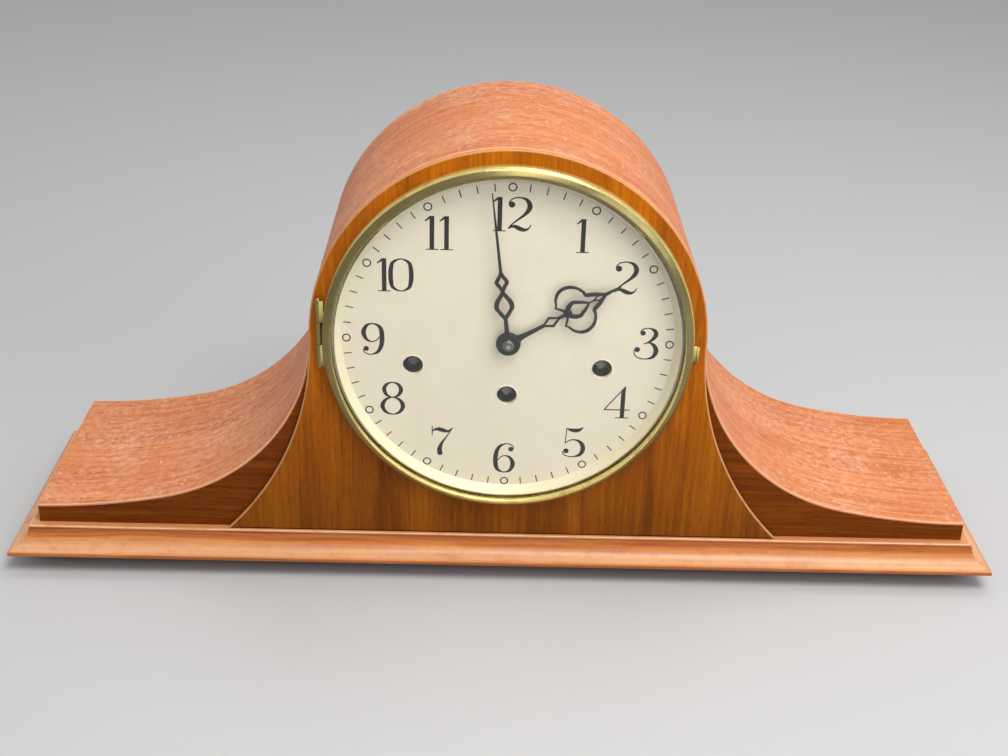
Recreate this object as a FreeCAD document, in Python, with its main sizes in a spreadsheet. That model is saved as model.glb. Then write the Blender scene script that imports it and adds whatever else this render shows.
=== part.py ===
import FreeCAD, Part
import math
import os
from types import SimpleNamespace
from FreeCAD import Placement, Rotation, Vector

# A key-wound chiming mantel clock with a low, wide, hump-backed case.
# X runs along the case, Y from front to back, Z up; the origin is under the middle of the whole clock.

os.makedirs("parts", exist_ok=True)
document = FreeCAD.newDocument("MantelClock")
sheet = document.addObject("Spreadsheet::Sheet", "Sizes")

# shares of the room they stand in
rodHeightShare = 0.140625
rodPitchShare = 0.157
rodFirstShare = 0.147
hammerHeadShare = 0.75
hammerHubShare = 0.625
CHIME_ROOM = "(bodyDepth - backBoard - frontPlateDepth - 2 * plateThickness - plateGap)"

SIZES = [
    # the case outline, seen from the front
    ("bodyLength", 503.4, "case from wing end to wing end"),
    ("bodyDepth", 121.5, "face of the front board to the outside of the back board"),
    ("centreHeight", 139.0, "hands' centre above the table, and the centre of the arch"),
    ("archRadius", 101.5, "outside of the arch"),
    ("shoulderRadius", 103.3, "hollow curve from the arch out to the wing"),
    ("wingEndHeight", 34.4, "top of the wing at its end"),
    ("flareRadius", 163.0, "hollow side of the raised centre panel"),
    ("frontBoard", 8.0, "front board thickness"),
    ("centrePanel", 3.0, "raised centre panel thickness"),
    ("backBoard", 6.0, "back board thickness"),
    ("skin", 5.0, "bent top skin thickness"),
    ("tipBlock", 38.0, "length of the solid block in a wing's tip"),
    # the base and its moulding
    ("footHeight", 2.0, "felt pad thickness"),
    ("footSize", 16.0, "square felt pad, side to side"),
    ("footInset", 14.0, "felt pad in from the base board's edges"),
    ("baseTop", 23.8, "top of the base board and of the moulding's ledge"),
    ("overhang", 14.8, "moulding's sharp edge beyond the case"),
    ("ledgeWidth", 4.7, "flat ledge on top of the moulding"),
    ("ledgeStep", 1.5, "small drop at the ledge's outer edge"),
    ("tipHeight", 12.5, "moulding's sharp edge above the table"),
    ("lipHeight", 2.0, "upright lip under the sharp edge"),
    ("undercutReach", 13.0, "how far the moulding is cut back underneath"),
    ("plinthHeight", 2.4, "upright part of the moulding's foot"),
    # the bezel, the dial and the crystal, radii about the hands' centre
    ("openingRadius", 89.0, "round opening in the front board and the panel"),
    ("glassGap", 0.3, "round the crystal's edge and beside the bezel's lip"),
    ("bezelRadius", 94.5, "outside of the hinged bezel ring"),
    ("bezelRise", 5.9, "height of the hinged bezel ring"),
    ("bezelShoulder", 2.4, "upright outer edge of the bezel ring"),
    ("bezelCrown", 3.2, "width of the bezel's slope"),
    ("bezelWall", 3.7, "width of the bezel ring at its back"),
    ("bezelLip", 1.9, "lip that holds the crystal from the front"),
    ("lipThickness", 0.8, "thickness of that lip"),
    ("doorGap", 0.3, "running gap between a door and what it closes on"),
    ("crystalThickness", 1.6, "glass thickness"),
    ("crystalDome", 5.0, "rise of the domed glass, edge to middle"),
    ("clipHeight", 2.2, "clip behind the glass"),
    ("clipReach", 2.4, "clip in from the bezel ring"),
    ("clipWidth", 7.0, "clip along the bezel ring"),
    ("dialRadius", 84.8, "flat face of the dial"),
    ("dialThickness", 1.0, "dial plate thickness"),
    ("dialFace", 1.2, "dial's face in front of the front board's face"),
    ("rimRadius", 87.0, "front edge of the dial's raised rim, inside"),
    ("rimHeight", 5.2, "raised rim above the dial's face"),
    ("rimThickness", 0.6, "raised rim thickness"),
    ("tabReach", 3.0, "finger tab beyond the bezel"),
    ("tabHeight", 9.0, "finger tab's height"),
    ("tabThickness", 0.9, "finger tab's thickness"),
    ("tabDrop", 4.0, "finger tab's middle below the hands' centre"),
    # the bezel's hinge
    ("hingeLength", 36.0, "whole hinge barrel"),
    ("hingeLift", 4.0, "hinge's middle above the hands' centre"),
    ("barrelRadius", 1.1, "hinge barrel radius"),
    ("hingePin", 0.5, "hinge pin radius"),
    ("hingeGap", 0.2, "gap between the barrel's segments and beside the bezel"),
    ("hingeRise", 2.6, "hinge axis in front of the centre panel"),
    ("fitGap", 0.05, "running fit of a shaft in its hole"),
    # the winding holes
    ("windingSpread", 48.6, "side winding holes from the middle"),
    ("windingDrop", 14.7, "side winding holes below the hands' centre"),
    ("timeDrop", 30.9, "middle winding hole below the hands' centre"),
    ("windingHole", 4.85, "winding hole radius"),
    ("dialCentreHole", 4.4, "hole for the hands' pipes"),
    # the hands
    ("hourLevel", 4.0, "back of the hour hand, in front of the front board's face"),
    ("minuteLevel", 5.5, "back of the minute hand"),
    ("handThickness", 0.6, "thickness of both hands"),
    ("minuteLength", 81.0, "minute hand, centre to tip"),
    ("minuteBoss", 5.9, "minute hand's boss radius"),
    ("minuteStem", 1.0, "half width of the minute hand's stem"),
    ("minuteLeafStart", 14.5, "start of the open leaf"),
    ("minuteLeafWidest", 21.8, "widest place of the open leaf"),
    ("minuteLeafEnd", 29.8, "end of the open leaf"),
    ("minuteLeafHalf", 4.8, "half width of the open leaf"),
    ("minuteLozengeWidest", 34.9, "widest place of the open lozenge"),
    ("minuteLozengeEnd", 39.8, "end of the open lozenge"),
    ("minuteLozengeHalf", 3.5, "half width of the open lozenge"),
    ("minuteNeedle", 0.6, "half width at the root of the needle"),
    ("minuteTip", 0.25, "half width at the minute hand's tip"),
    ("hourLength", 60.0, "hour hand, centre to tip"),
    ("hourBoss", 6.4, "hour hand's boss radius"),
    ("hourStem", 1.1, "half width of the hour hand's stem"),
    ("hourLozengeStart", 21.5, "start of the small open lozenge"),
    ("hourLozengeEnd", 28.5, "end of the small open lozenge"),
    ("hourLozengeHalf", 2.5, "half width of the small open lozenge"),
    ("scrollCentre", 38.4, "distance out to the scrolls' centres"),
    ("scrollSpread", 4.8, "scrolls' centres either side"),
    ("scrollRadius", 8.6, "outside radius of a scroll"),
    ("scrollWidth", 1.5, "width of a scroll's line at its middle"),
    ("scrollEnd", 0.9, "width of a scroll's line at its ends"),
    ("scrollMeet", 56.6, "where the bars from the two scrolls meet"),
    ("heartRadius", 1.9, "solid heart below the leaf"),
    ("hourLeafStart", 32.6, "start of the leaf between the scrolls"),
    ("hourLeafEnd", 46.5, "end of the leaf between the scrolls"),
    ("hourLeafWidest", 38.6, "widest place of that leaf"),
    ("hourLeafHalf", 4.4, "half width of that leaf"),
    ("tipLozengeStart", 49.3, "start of the small lozenge between the bars"),
    ("tipLozengeWidest", 51.4, "widest place of that lozenge"),
    ("tipLozengeEnd", 54.9, "end of that lozenge"),
    ("tipLozengeHalf", 1.1, "half width of that lozenge"),
    ("hourTip", 0.45, "half width at the hour hand's tip"),
    ("handLine", 1.0, "width of the lines of the open shapes"),
    ("nutRadius", 3.1, "hand nut radius"),
    ("nutHeight", 2.0, "hand nut height"),
    ("arborEnd", 0.5, "centre arbor in front of its nut"),
    # the movement's plates
    ("plateGap", 45.5, "between the movement's plates"),
    ("plateThickness", 2.5, "plate thickness"),
    ("frontPlateDepth", 14.0, "movement's front plate behind the front board's face"),
    ("plateHalfWidth", 69.0, "half width of a plate"),
    ("plateRise", 60.0, "plate above the hands' centre"),
    ("plateDrop", 52.0, "plate below the hands' centre"),
    ("plateCorner", 12.0, "cut off corner of a plate"),
    ("pillarRadius", 4.0, "pillar between the plates"),
    ("pillarInset", 9.0, "pillar's centre in from the plate's edges"),
    ("strapWidth", 13.0, "mounting strap width"),
    ("strapThickness", 1.5, "mounting strap thickness"),
    ("strapLap", 9.0, "strap's lap on the movement's plate"),
    ("strapFoot", 14.0, "strap's foot on the front board"),
    ("sideStrapDrop", 30.0, "side straps below the hands' centre"),
    ("sideStrapFoot", 11.5, "side strap's foot on the front board"),
    ("lowStrapSpread", 46.0, "low straps from the middle"),
    ("footPinRadius", 1.5, "dial foot radius"),
    ("footPinSpread", 40.0, "upper dial feet from the middle"),
    ("footPinLift", 42.0, "upper dial feet above the hands' centre"),
    ("lowPinSpread", 27.0, "lower dial feet from the middle"),
    ("lowPinDrop", 46.0, "lower dial feet below the hands' centre"),
    # the wheels
    ("motionModule", 0.6, "module of the wheels behind the dial"),
    ("greatModule", 1.2, "module of the barrels' wheels"),
    ("middleModule", 0.78, "module of the second wheel"),
    ("trainModule", 0.6, "module of the upper wheels"),
    ("wheelThickness", 1.4, "thickness of a train wheel"),
    ("greatThickness", 2.0, "thickness of a barrel's wheel"),
    ("pinionMargin", 0.8, "pinion beyond its wheel on each side"),
    ("arborRadius", 1.0, "radius of a train arbor"),
    ("arborShake", 0.15, "end play of an arbor between the plates"),
    ("centreArbor", 1.2, "centre arbor radius"),
    ("cannonRadius", 2.0, "cannon pipe radius"),
    ("hourPipe", 3.0, "hour pipe radius"),
    ("hourWheelDepth", 6.0, "front of the hour wheel behind the front board's face"),
    ("minuteWheelDepth", 9.4, "front of the minute wheel behind the front board's face"),
    ("drumRadius", 18.5, "spring barrel radius"),
    ("drumLength", 28.0, "spring barrel length"),
    ("drumDepth", 5.5, "spring barrel behind the front plate"),
    ("windingArbor", 3.0, "winding arbor radius"),
    ("windingSquare", 4.2, "winding square across its flats"),
    ("squareDepth", 4.5, "end of the winding square behind the front board's face"),
    ("ratchetRadius", 8.0, "ratchet wheel radius"),
    ("ratchetTooth", 1.6, "ratchet tooth depth"),
    ("ratchetThickness", 2.0, "ratchet wheel thickness"),
    ("clickGap", 0.3, "click's tip clear of the ratchet teeth"),
    ("clickLength", 12.0, "click's length"),
    ("clickWidth", 4.0, "click's width"),
    ("secondWheelDepth", 39.0, "second wheel behind the front plate"),
    ("centreWheelDepth", 1.6, "centre wheel behind the front plate"),
    ("thirdWheelDepth", 14.0, "third wheel behind the front plate"),
    ("escapeWheelDepth", 42.5, "escape wheel behind the front plate"),
    ("escapeRadius", 6.2, "escape wheel radius"),
    ("escapeTooth", 1.7, "escape tooth depth"),
    ("palletGap", 0.8, "pallets clear of the escape teeth"),
    ("palletReach", 4.8, "pallets either side of the escape wheel's centre"),
    ("palletLift", 11.4, "lever's arbor above the escape wheel's centre"),
    ("palletThickness", 1.2, "lever's thickness"),
    ("forkReach", 9.0, "fork's length from the lever's arbor"),
    ("forkDepth", 8.0, "fork behind the back plate"),
    # the floating balance on the back plate
    ("balanceSide", 34.0, "balance staff left of the hands' centre"),
    ("balanceBack", 15.5, "balance staff behind the back plate"),
    ("balanceLow", 14.0, "bottom of the balance bracket above the hands' centre"),
    ("bracketHeight", 42.0, "height of the balance bracket"),
    ("bracketStock", 3.0, "thickness of the balance bracket"),
    ("bracketWidth", 10.0, "width of the balance bracket"),
    ("bracketNose", 6.0, "bracket beyond the staff"),
    ("staffRadius", 0.8, "balance staff radius"),
    ("balanceRadius", 11.0, "balance wheel radius"),
    ("balanceRim", 2.0, "balance wheel's rim width"),
    ("balanceHeight", 9.0, "balance wheel above the bracket's lower arm"),
    ("balanceThickness", 1.6, "balance wheel's thickness"),
    ("springSleeve", 3.6, "balance spring's sleeve radius"),
    ("sleeveLength", 17.0, "balance spring's sleeve length"),
    # the chime
    ("rodRadius", 1.4, "chime rod radius"),
    ("rodLongest", 232.0, "longest chime rod"),
    ("rodHeight", f"=baseTop + (centreHeight - baseTop) * {rodHeightShare}", "chime rods above the table"),
    ("rodPitch", f"={CHIME_ROOM} * {rodPitchShare}", "between one chime rod and the next"),
    ("rodFirst", f"={CHIME_ROOM} * {rodFirstShare}", "first chime rod behind the back plate"),
    ("blockStart", 92.0, "chime block's inner face from the middle"),
    ("blockLength", 24.0, "chime block along the case"),
    ("blockMargin", 5.0, "chime block beyond its outer rods"),
    ("blockHeight", 24.0, "chime block above the base board"),
    ("hammerPivot", 34.0, "hammer arbor from the middle"),
    ("hammerPivotDrop", 59.0, "hammer arbor below the hands' centre"),
    ("hammerPivotHeight", "=centreHeight - hammerPivotDrop", "hammer arbor above the table"),
    ("hammerReach", 42.0, "hammer head from the hammer arbor"),
    ("hammerHead", f"=rodPitch * {hammerHeadShare}", "hammer head's square"),
    ("hammerHeadLength", 12.0, "hammer head length"),
    ("hammerRest", 2.6, "hammer head above its rod at rest"),
    ("hammerWire", 2.0, "hammer arm thickness"),
    ("hammerHub", 3.0, "hammer hub radius"),
    ("hammerHubWidth", f"=rodPitch * {hammerHubShare}", "hammer hub width"),
    ("hammerArbor", 1.5, "hammer arbor radius"),
    ("lugThickness", 2.0, "bracket lug thickness"),
    ("railHeight", 4.0, "bracket rail height"),
    # the back door
    ("doorOpening", 78.0, "half width of the back opening, and its arch's radius"),
    ("doorSill", 14.0, "opening above the base board"),
    ("doorThickness", 5.0, "back door thickness"),
    ("doorPlay", 0.6, "gap round the back door"),
    ("slotWidth", 5.0, "sound slot width"),
    ("slotLength", 44.0, "sound slot length"),
    ("slotPitch", 15.0, "between one sound slot and the next"),
    ("slotDrop", 38.0, "sound slots' middle below the hands' centre"),
    ("leafLength", 24.0, "back hinge height"),
    ("leafWidth", 11.0, "back hinge leaf width"),
    ("leafThickness", 0.9, "back hinge leaf thickness"),
    ("knuckleRadius", 1.6, "back hinge knuckle radius"),
    ("knucklePin", 0.8, "back hinge pin radius"),
    ("knobReach", 9.0, "door knob behind the case"),
    ("knobRadius", 5.0, "door knob radius"),
    ("knobNeck", 2.4, "door knob's neck radius"),
    ("knobInset", 16.0, "door knob in from the opening's edge"),
    ("knobDrop", 24.0, "door knob below the hands' centre"),
]

for row, (alias, value, note) in enumerate(SIZES, start=1):
    sheet.set(f"A{row}", alias)
    sheet.set(f"B{row}", str(value))
    sheet.setAlias(f"B{row}", alias)
    sheet.set(f"C{row}", note)
document.recompute()
s = SimpleNamespace(**{alias: float(sheet.get(alias)) for alias, _, _ in SIZES})

# counts, angles and shares, which stay as they are when the clock is made larger
CANNON_TEETH, MINUTE_WHEEL_TEETH = 10, 30
MINUTE_PINION_TEETH, HOUR_WHEEL_TEETH = 8, 32
GREAT_TEETH, SECOND_PINION_TEETH = 36, 6
SECOND_TEETH, CENTRE_PINION_TEETH = 24, 12
CENTRE_TEETH, THIRD_PINION_TEETH = 36, 6
THIRD_TEETH, ESCAPE_PINION_TEETH = 30, 6
ESCAPE_TEETH, RATCHET_TEETH = 15, 12
CRYSTAL_CLIPS = 4
ARBOR_FLATS, ROD_FLATS, RIM_FLATS, GLASS_FLATS = 6, 12, 24, 48
HAMMERS = 5
SLOTS = 7
MINUTE_WHEEL_ANGLE, THIRD_ANGLE, ESCAPE_ANGLE = 135.0, 150.0, 105.0
MINUTE_HAND_ANGLE, HOUR_HAND_ANGLE = 353.0, 59.4
NECK_ANGLE = 1.0
addendumShare = 0.7
dedendumShare = 1.15
boreShare = 1 / math.cos(math.pi / ROD_FLATS)
coveSagShare = 0.2
undercutSagShare = 0.12
rodStepShare = 0.075
domeShares = (1.0, 0.72, 0.4)
backHingeShares = (0.2, 0.8)

front_y = s.overhang - (s.overhang + s.bodyDepth + s.knobReach) / 2
wing_x = s.bodyLength / 2
front_plate_back = s.frontPlateDepth + s.plateThickness
back_plate_front = front_plate_back + s.plateGap
back_plate_back = back_plate_front + s.plateThickness
panel_face = s.centrePanel
bezel_back = panel_face + s.doorGap
bezel_front = bezel_back + s.bezelRise
case_back = front_y + s.bodyDepth
parts = []


def facing(x, up, forward):
    """A frame that looks out of the dial: local X to the right, Y up and Z forward."""
    place = Vector(x, front_y - forward, s.centreHeight + up)
    return Placement(place, Rotation(Vector(1, 0, 0), 90))


def keep(part, label):
    part.Label = label
    parts.append(part)
    return part


def new_body(name, placement):
    body = document.addObject("PartDesign::Body", name)
    body.Placement = placement
    return body


def sketch_in(body, role, edges, lift=None):
    """A sketch on one of the body's own planes; lift is an expression for its height above the plane."""
    plane = next(item for item in body.Origin.OriginFeatures if item.Role == role)
    sketch = body.newObject("Sketcher::SketchObject", body.Name + "Sketch")
    sketch.AttachmentSupport = [(plane, "")]
    sketch.MapMode = "FlatFace"
    if lift:
        sketch.setExpression(".AttachmentOffset.Base.z", lift)
    sketch.addGeometry(edges, False)
    return sketch


def pad(body, edges, length, lift=None, role="XY_Plane"):
    sketch = sketch_in(body, role, edges, lift)
    feature = body.newObject("PartDesign::Pad", body.Name + "Pad")
    feature.Profile = sketch
    feature.setExpression("Length", length)
    body.Tip = feature
    return feature


def symmetric_pad(body, edges, length, role):
    feature = pad(body, edges, length, role=role)
    feature.SideType = "Symmetric"
    return feature


def pocket_through(body, edges, role="XY_Plane"):
    sketch = sketch_in(body, role, edges)
    feature = body.newObject("PartDesign::Pocket", body.Name + "Pocket")
    feature.Profile = sketch
    feature.Type = "ThroughAll"
    feature.SideType = "Symmetric"
    body.Tip = feature
    return feature


def revolve(body, edges):
    """A full turn of a profile in X and Z about the body's Z axis."""
    sketch = sketch_in(body, "XZ_Plane", edges)
    feature = body.newObject("PartDesign::Revolution", body.Name + "Turning")
    feature.Profile = sketch
    feature.ReferenceAxis = (sketch, ["V_Axis"])
    feature.Angle = 360
    body.Tip = feature
    return feature


def cylinder(name, radius, height, placement):
    part = document.addObject("Part::Cylinder", name)
    part.setExpression("Radius", radius)
    part.setExpression("Height", height)
    part.Placement = placement
    return part


def rod(name, radius, height, placement):
    """Slim round stock, drawn with flats; a bore for it is larger by boreShare, so it can turn."""
    part = document.addObject("Part::Prism", name)
    part.Polygon = ROD_FLATS
    part.setExpression("Circumradius", radius)
    part.setExpression("Height", height)
    part.Placement = placement
    return part


def block(name, length, width, height, corner):
    part = document.addObject("Part::Box", name)
    part.setExpression("Length", length)
    part.setExpression("Width", width)
    part.setExpression("Height", height)
    part.Placement = Placement(corner, Rotation())
    return part


def group(label, members):
    part = document.addObject("Part::Compound", label)
    part.Links = members
    return keep(part, label)


def cut(name, base, tool):
    part = document.addObject("Part::Cut", name)
    part.Base = base
    part.Tool = tool
    return part


def fuse(name, members):
    part = document.addObject("Part::MultiFuse", name)
    part.Shapes = members
    return part


def line(a, b):
    return Part.LineSegment(Vector(a[0], a[1], 0), Vector(b[0], b[1], 0))


def arc(a, middle, b):
    points = [Vector(p[0], p[1], 0) for p in (a, middle, b)]
    return Part.Arc(*points)


def circle(radius, x=0.0, y=0.0):
    return Part.Circle(Vector(x, y, 0), Vector(0, 0, 1), radius)


def polygon(points):
    return [line(points[i - 1], points[i]) for i in range(len(points))]


def flats(radius, count=ROD_FLATS, x=0.0, y=0.0):
    return polygon([polar(radius, k * 360 / count, x, y) for k in range(count)])


def bore_flats(shaft_radius, x=0.0, y=0.0):
    """A bore that leaves the running fit round a shaft at every angle."""
    return flats((shaft_radius + s.fitGap) * boreShare, ROD_FLATS, x, y)


def polar(radius, degrees, x=0.0, y=0.0):
    angle = math.radians(degrees)
    return (x + radius * math.cos(angle), y + radius * math.sin(angle))


def arc_about(centre, radius, start, end):
    """Part of a circle between two angles in degrees."""
    return arc(*(polar(radius, a, *centre) for a in (start, (start + end) / 2, end)))


def bowed(a, b, share):
    """An arc from a to b that bows to the right of that direction by a share of its chord."""
    run = (b[0] - a[0], b[1] - a[1])
    middle = ((a[0] + b[0]) / 2 + share * run[1], (a[1] + b[1]) / 2 - share * run[0])
    return arc(a, middle, b)


def flipped(point):
    return (-point[0], point[1])


# The case outline: the arch meets each hollow shoulder just above the height of the hands' centre,
# and each shoulder runs on in a flatter curve that ends level at the wing's tip.

shoulder_x, shoulder_lift = polar(s.archRadius + s.shoulderRadius, NECK_ANGLE)
shoulder_drop = s.centreHeight + shoulder_lift - s.wingEndHeight - s.shoulderRadius
tail_angle = 2 * math.degrees(math.atan(shoulder_drop / (wing_x - shoulder_x)))
tail_radius = s.shoulderRadius + (wing_x - shoulder_x) / math.sin(math.radians(tail_angle))


def top_edges(inset):
    """The top line from the right wing's tip to the left, moved in by inset."""
    tail = (wing_x, s.wingEndHeight + tail_radius)
    shoulder = (shoulder_x, s.centreHeight + shoulder_lift)
    join, neck = -90 - tail_angle, NECK_ANGLE - 180
    right_tail = [polar(tail_radius + inset, a, *tail) for a in (-90, (join - 90) / 2, join)]
    right_shoulder = [polar(s.shoulderRadius + inset, a, *shoulder) for a in (join, (join + neck) / 2, neck)]
    arch = arc_about((0, s.centreHeight), s.archRadius - inset, NECK_ANGLE, 180 - NECK_ANGLE)
    left_shoulder = [flipped(p) for p in reversed(right_shoulder)]
    left_tail = [flipped(p) for p in reversed(right_tail)]
    return [arc(*right_tail), arc(*right_shoulder), arch, arc(*left_shoulder), arc(*left_tail)]


def case_outline():
    """The whole front of the case in X and Z, closed along the base board."""
    tip, foot = (wing_x, s.wingEndHeight), (wing_x, s.baseTop)
    sides = [line(foot, tip), line(flipped(tip), flipped(foot)), line(flipped(foot), foot)]
    return top_edges(0) + sides


def upright_frame(y):
    """A frame for sketches in X and Z, padded forward from y."""
    return Placement(Vector(0, y, 0), Rotation())


def base_board():
    corner = Vector(-wing_x, front_y, s.footHeight)
    part = block("base_board", "Sizes.bodyLength", "Sizes.bodyDepth", "Sizes.baseTop - Sizes.footHeight", corner)
    keep(part, "base_board")


def foot_pads():
    pads = []
    for x in (s.footInset - wing_x, wing_x - s.footInset - s.footSize):
        for y in (front_y + s.footInset, case_back - s.footInset - s.footSize):
            pads.append(block("foot_pad", "Sizes.footSize", "Sizes.footSize", "Sizes.footHeight", Vector(x, y, 0)))
    group("foot_pads", pads)


def moulding_profile():
    """Outward from the base board's edge and up: ledge, step, cove, lip, undercut and foot."""
    ledge = (s.ledgeWidth, s.baseTop)
    step = (s.ledgeWidth, s.baseTop - s.ledgeStep)
    tip = (s.overhang, s.tipHeight)
    lip = (s.overhang, s.tipHeight - s.lipHeight)
    heel = (s.overhang - s.undercutReach, s.footHeight + s.plinthHeight)
    toe = (s.overhang - s.undercutReach, s.footHeight)
    inner, top = (0, s.footHeight), (0, s.baseTop)
    return [line(inner, top), line(top, ledge), line(ledge, step), bowed(step, tip, coveSagShare),
            line(tip, lip), bowed(lip, heel, -undercutSagShare), line(heel, toe), line(toe, inner)]


def mitre(along):
    """A triangle that cuts a moulding's end back at 45 degrees, from the base board's corner."""
    reach = 2 * s.overhang
    step = math.copysign(reach, along)
    return polygon([(0, along), (0, along + step), (reach, along + step)])


def moulding_front():
    """Local X runs out of the case, so the strip lies along local Y."""
    turn = Rotation(Vector(0, 0, 1), -90)
    body = new_body("moulding_front", Placement(Vector(0, front_y, 0), turn))
    symmetric_pad(body, moulding_profile(), "Sizes.bodyLength + 2 * Sizes.overhang", "XZ_Plane")
    for end in (-wing_x, wing_x):
        pocket_through(body, mitre(end))
    keep(body, "moulding_front")


def moulding_side(label, side):
    """Local X runs out of the case's end, so local Y runs back on the right and forward on the left."""
    turn = Rotation(Vector(0, 0, 1), 0 if side > 0 else 180)
    body = new_body(label, Placement(Vector(side * wing_x, (front_y + case_back - s.overhang) / 2, 0), turn))
    symmetric_pad(body, moulding_profile(), "Sizes.bodyDepth + Sizes.overhang", "XZ_Plane")
    pocket_through(body, mitre(-side * (s.bodyDepth - s.overhang) / 2))
    keep(body, label)


def front_board():
    body = new_body("front_board", upright_frame(front_y + s.frontBoard))
    hole = flats(s.openingRadius / math.cos(math.pi / RIM_FLATS), RIM_FLATS, 0, s.centreHeight)
    pad(body, case_outline() + hole, "Sizes.frontBoard", role="XZ_Plane")
    keep(body, "front_board")


def centre_panel():
    """The raised panel: the arch above, and a hollow flare down each side."""
    flare = (s.archRadius + s.flareRadius, s.centreHeight)
    drop = math.degrees(math.asin((s.centreHeight - s.baseTop) / s.flareRadius))
    right = [polar(s.flareRadius, a, *flare) for a in (180, 180 + drop / 2, 180 + drop)]
    left = [flipped(p) for p in right]
    edges = [arc_about((0, s.centreHeight), s.archRadius, 0, 180), arc(*right), arc(*left), line(right[2], left[2])]
    body = new_body("centre_panel", upright_frame(front_y))
    pad(body, edges + [circle(s.openingRadius, 0, s.centreHeight)], "Sizes.centrePanel", role="XZ_Plane")
    keep(body, "centre_panel")


def top_skin():
    """One bent sheet over both wings and the arch, between the front and back boards."""
    tip, under = (wing_x, s.wingEndHeight), (wing_x, s.wingEndHeight - s.skin)
    ends = [line(under, tip), line(flipped(tip), flipped(under))]
    edges = top_edges(0) + top_edges(s.skin) + ends
    body = new_body("top_skin", upright_frame(case_back - s.backBoard))
    pad(body, edges, "Sizes.bodyDepth - Sizes.frontBoard - Sizes.backBoard", role="XZ_Plane")
    keep(body, "top_skin")


def wing_tip_blocks():
    """The solid wood under the skin where a wing is too thin to be hollow."""
    tail = (wing_x, s.wingEndHeight + tail_radius)
    lean = math.degrees(math.asin(s.tipBlock / (tail_radius + s.skin)))
    top = [polar(tail_radius + s.skin, a, *tail) for a in (-90, -90 - lean / 2, -90 - lean)]
    inner, outer = (wing_x - s.tipBlock, s.baseTop), (wing_x, s.baseTop)
    blocks = []
    for side in (1, -1):
        points = [(side * x, z) for x, z in (inner, outer, *top)]
        foot_in, foot_out, a, middle, b = points
        body = new_body("wing_tip_block", upright_frame(case_back - s.backBoard))
        edges = [line(foot_in, foot_out), line(foot_out, a), arc(a, middle, b), line(b, foot_in)]
        pad(body, edges, "Sizes.bodyDepth - Sizes.frontBoard - Sizes.backBoard", role="XZ_Plane")
        blocks.append(body)
    group("wing_tip_blocks", blocks)


def tombstone(half_width, sill):
    """A round-topped doorway in X and Z about the hands' centre."""
    spring = (half_width, s.centreHeight)
    foot = (half_width, sill)
    arch = arc_about((0, s.centreHeight), half_width, 0, 180)
    return [arch, line(flipped(spring), flipped(foot)), line(flipped(foot), foot), line(foot, spring)]


def back_board():
    body = new_body("back_board", upright_frame(case_back))
    opening = tombstone(s.doorOpening, s.baseTop + s.doorSill)
    pad(body, case_outline() + opening, "Sizes.backBoard", role="XZ_Plane")
    keep(body, "back_board")


def back_door():
    """A round-topped door with a row of upright sound slots."""
    body = new_body("back_door", upright_frame(case_back))
    edges = tombstone(s.doorOpening - s.doorPlay, s.baseTop + s.doorSill + s.doorPlay)
    low = s.centreHeight - s.slotDrop - s.slotLength / 2
    for index in range(SLOTS):
        left = (index - (SLOTS - 1) / 2) * s.slotPitch - s.slotWidth / 2
        right, top = left + s.slotWidth, low + s.slotLength
        edges += polygon([(left, low), (right, low), (right, top), (left, top)])
    pad(body, edges, "Sizes.doorThickness", role="XZ_Plane")
    keep(body, "back_door")


back_hinge_x = s.doorPlay / 2 - s.doorOpening
back_hinge_y = case_back + s.knuckleRadius + s.fitGap


def back_hinge_half(name, side, base_z):
    """Half of a butt hinge: a flat leaf on the wood and half of the barrel, bored for the pin."""
    corner = Vector(back_hinge_x - (s.leafWidth if side < 0 else 0), case_back, base_z)
    height = "Sizes.leafLength / 2 - Sizes.hingeGap / 2"
    leaf = block(name + "_leaf", "Sizes.leafWidth", "Sizes.leafThickness", height, corner)
    axis = Placement(Vector(back_hinge_x, back_hinge_y, base_z), Rotation())
    barrel = rod(name + "_barrel", "Sizes.knuckleRadius", height, axis)
    bore = rod(name + "_bore", f"(Sizes.knucklePin + Sizes.fitGap) * {boreShare}", height, axis)
    return cut(name, fuse(name + "_blank", [leaf, barrel]), bore)


def back_hinges():
    """Two butt hinges: the lower half of each barrel is screwed to the board, the upper to the door."""
    low, high = s.baseTop + s.doorSill, s.centreHeight
    fixed, moving, pins = [], [], []
    for share in backHingeShares:
        base = low + share * (high - low) - s.leafLength / 2
        fixed.append(back_hinge_half("fixed_half", -1, base))
        moving.append(back_hinge_half("moving_half", 1, base + (s.leafLength + s.hingeGap) / 2))
        place = Placement(Vector(back_hinge_x, back_hinge_y, base), Rotation())
        pins.append(rod("back_pin", "Sizes.knucklePin", "Sizes.leafLength", place))
    group("back_hinge_fixed", fixed)
    group("back_hinge_moving", moving)
    group("back_hinge_pins", pins)


def door_knob():
    """A brass neck and head, on the side away from the hinges."""
    turn = Rotation(Vector(1, 0, 0), -90)
    place = Vector(s.doorOpening - s.knobInset, case_back, s.centreHeight - s.knobDrop)
    body = new_body("door_knob", Placement(place, turn))
    pad(body, flats(s.knobNeck), "Sizes.knobReach / 2")
    pad(body, flats(s.knobRadius, RIM_FLATS), "Sizes.knobReach / 2", "Sizes.knobReach / 2")
    keep(body, "door_knob")


# The bezel, the dial and the crystal are turned about the hands' axis.
# A profile's first number is a radius and its second a height in front of the front board's face.

ring_inner = s.bezelRadius - s.bezelWall
lip_inner = ring_inner - s.bezelLip
crystal_radius = ring_inner - s.glassGap
crystal_front = bezel_front - s.lipThickness
crystal_back = crystal_front - s.crystalThickness


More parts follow.
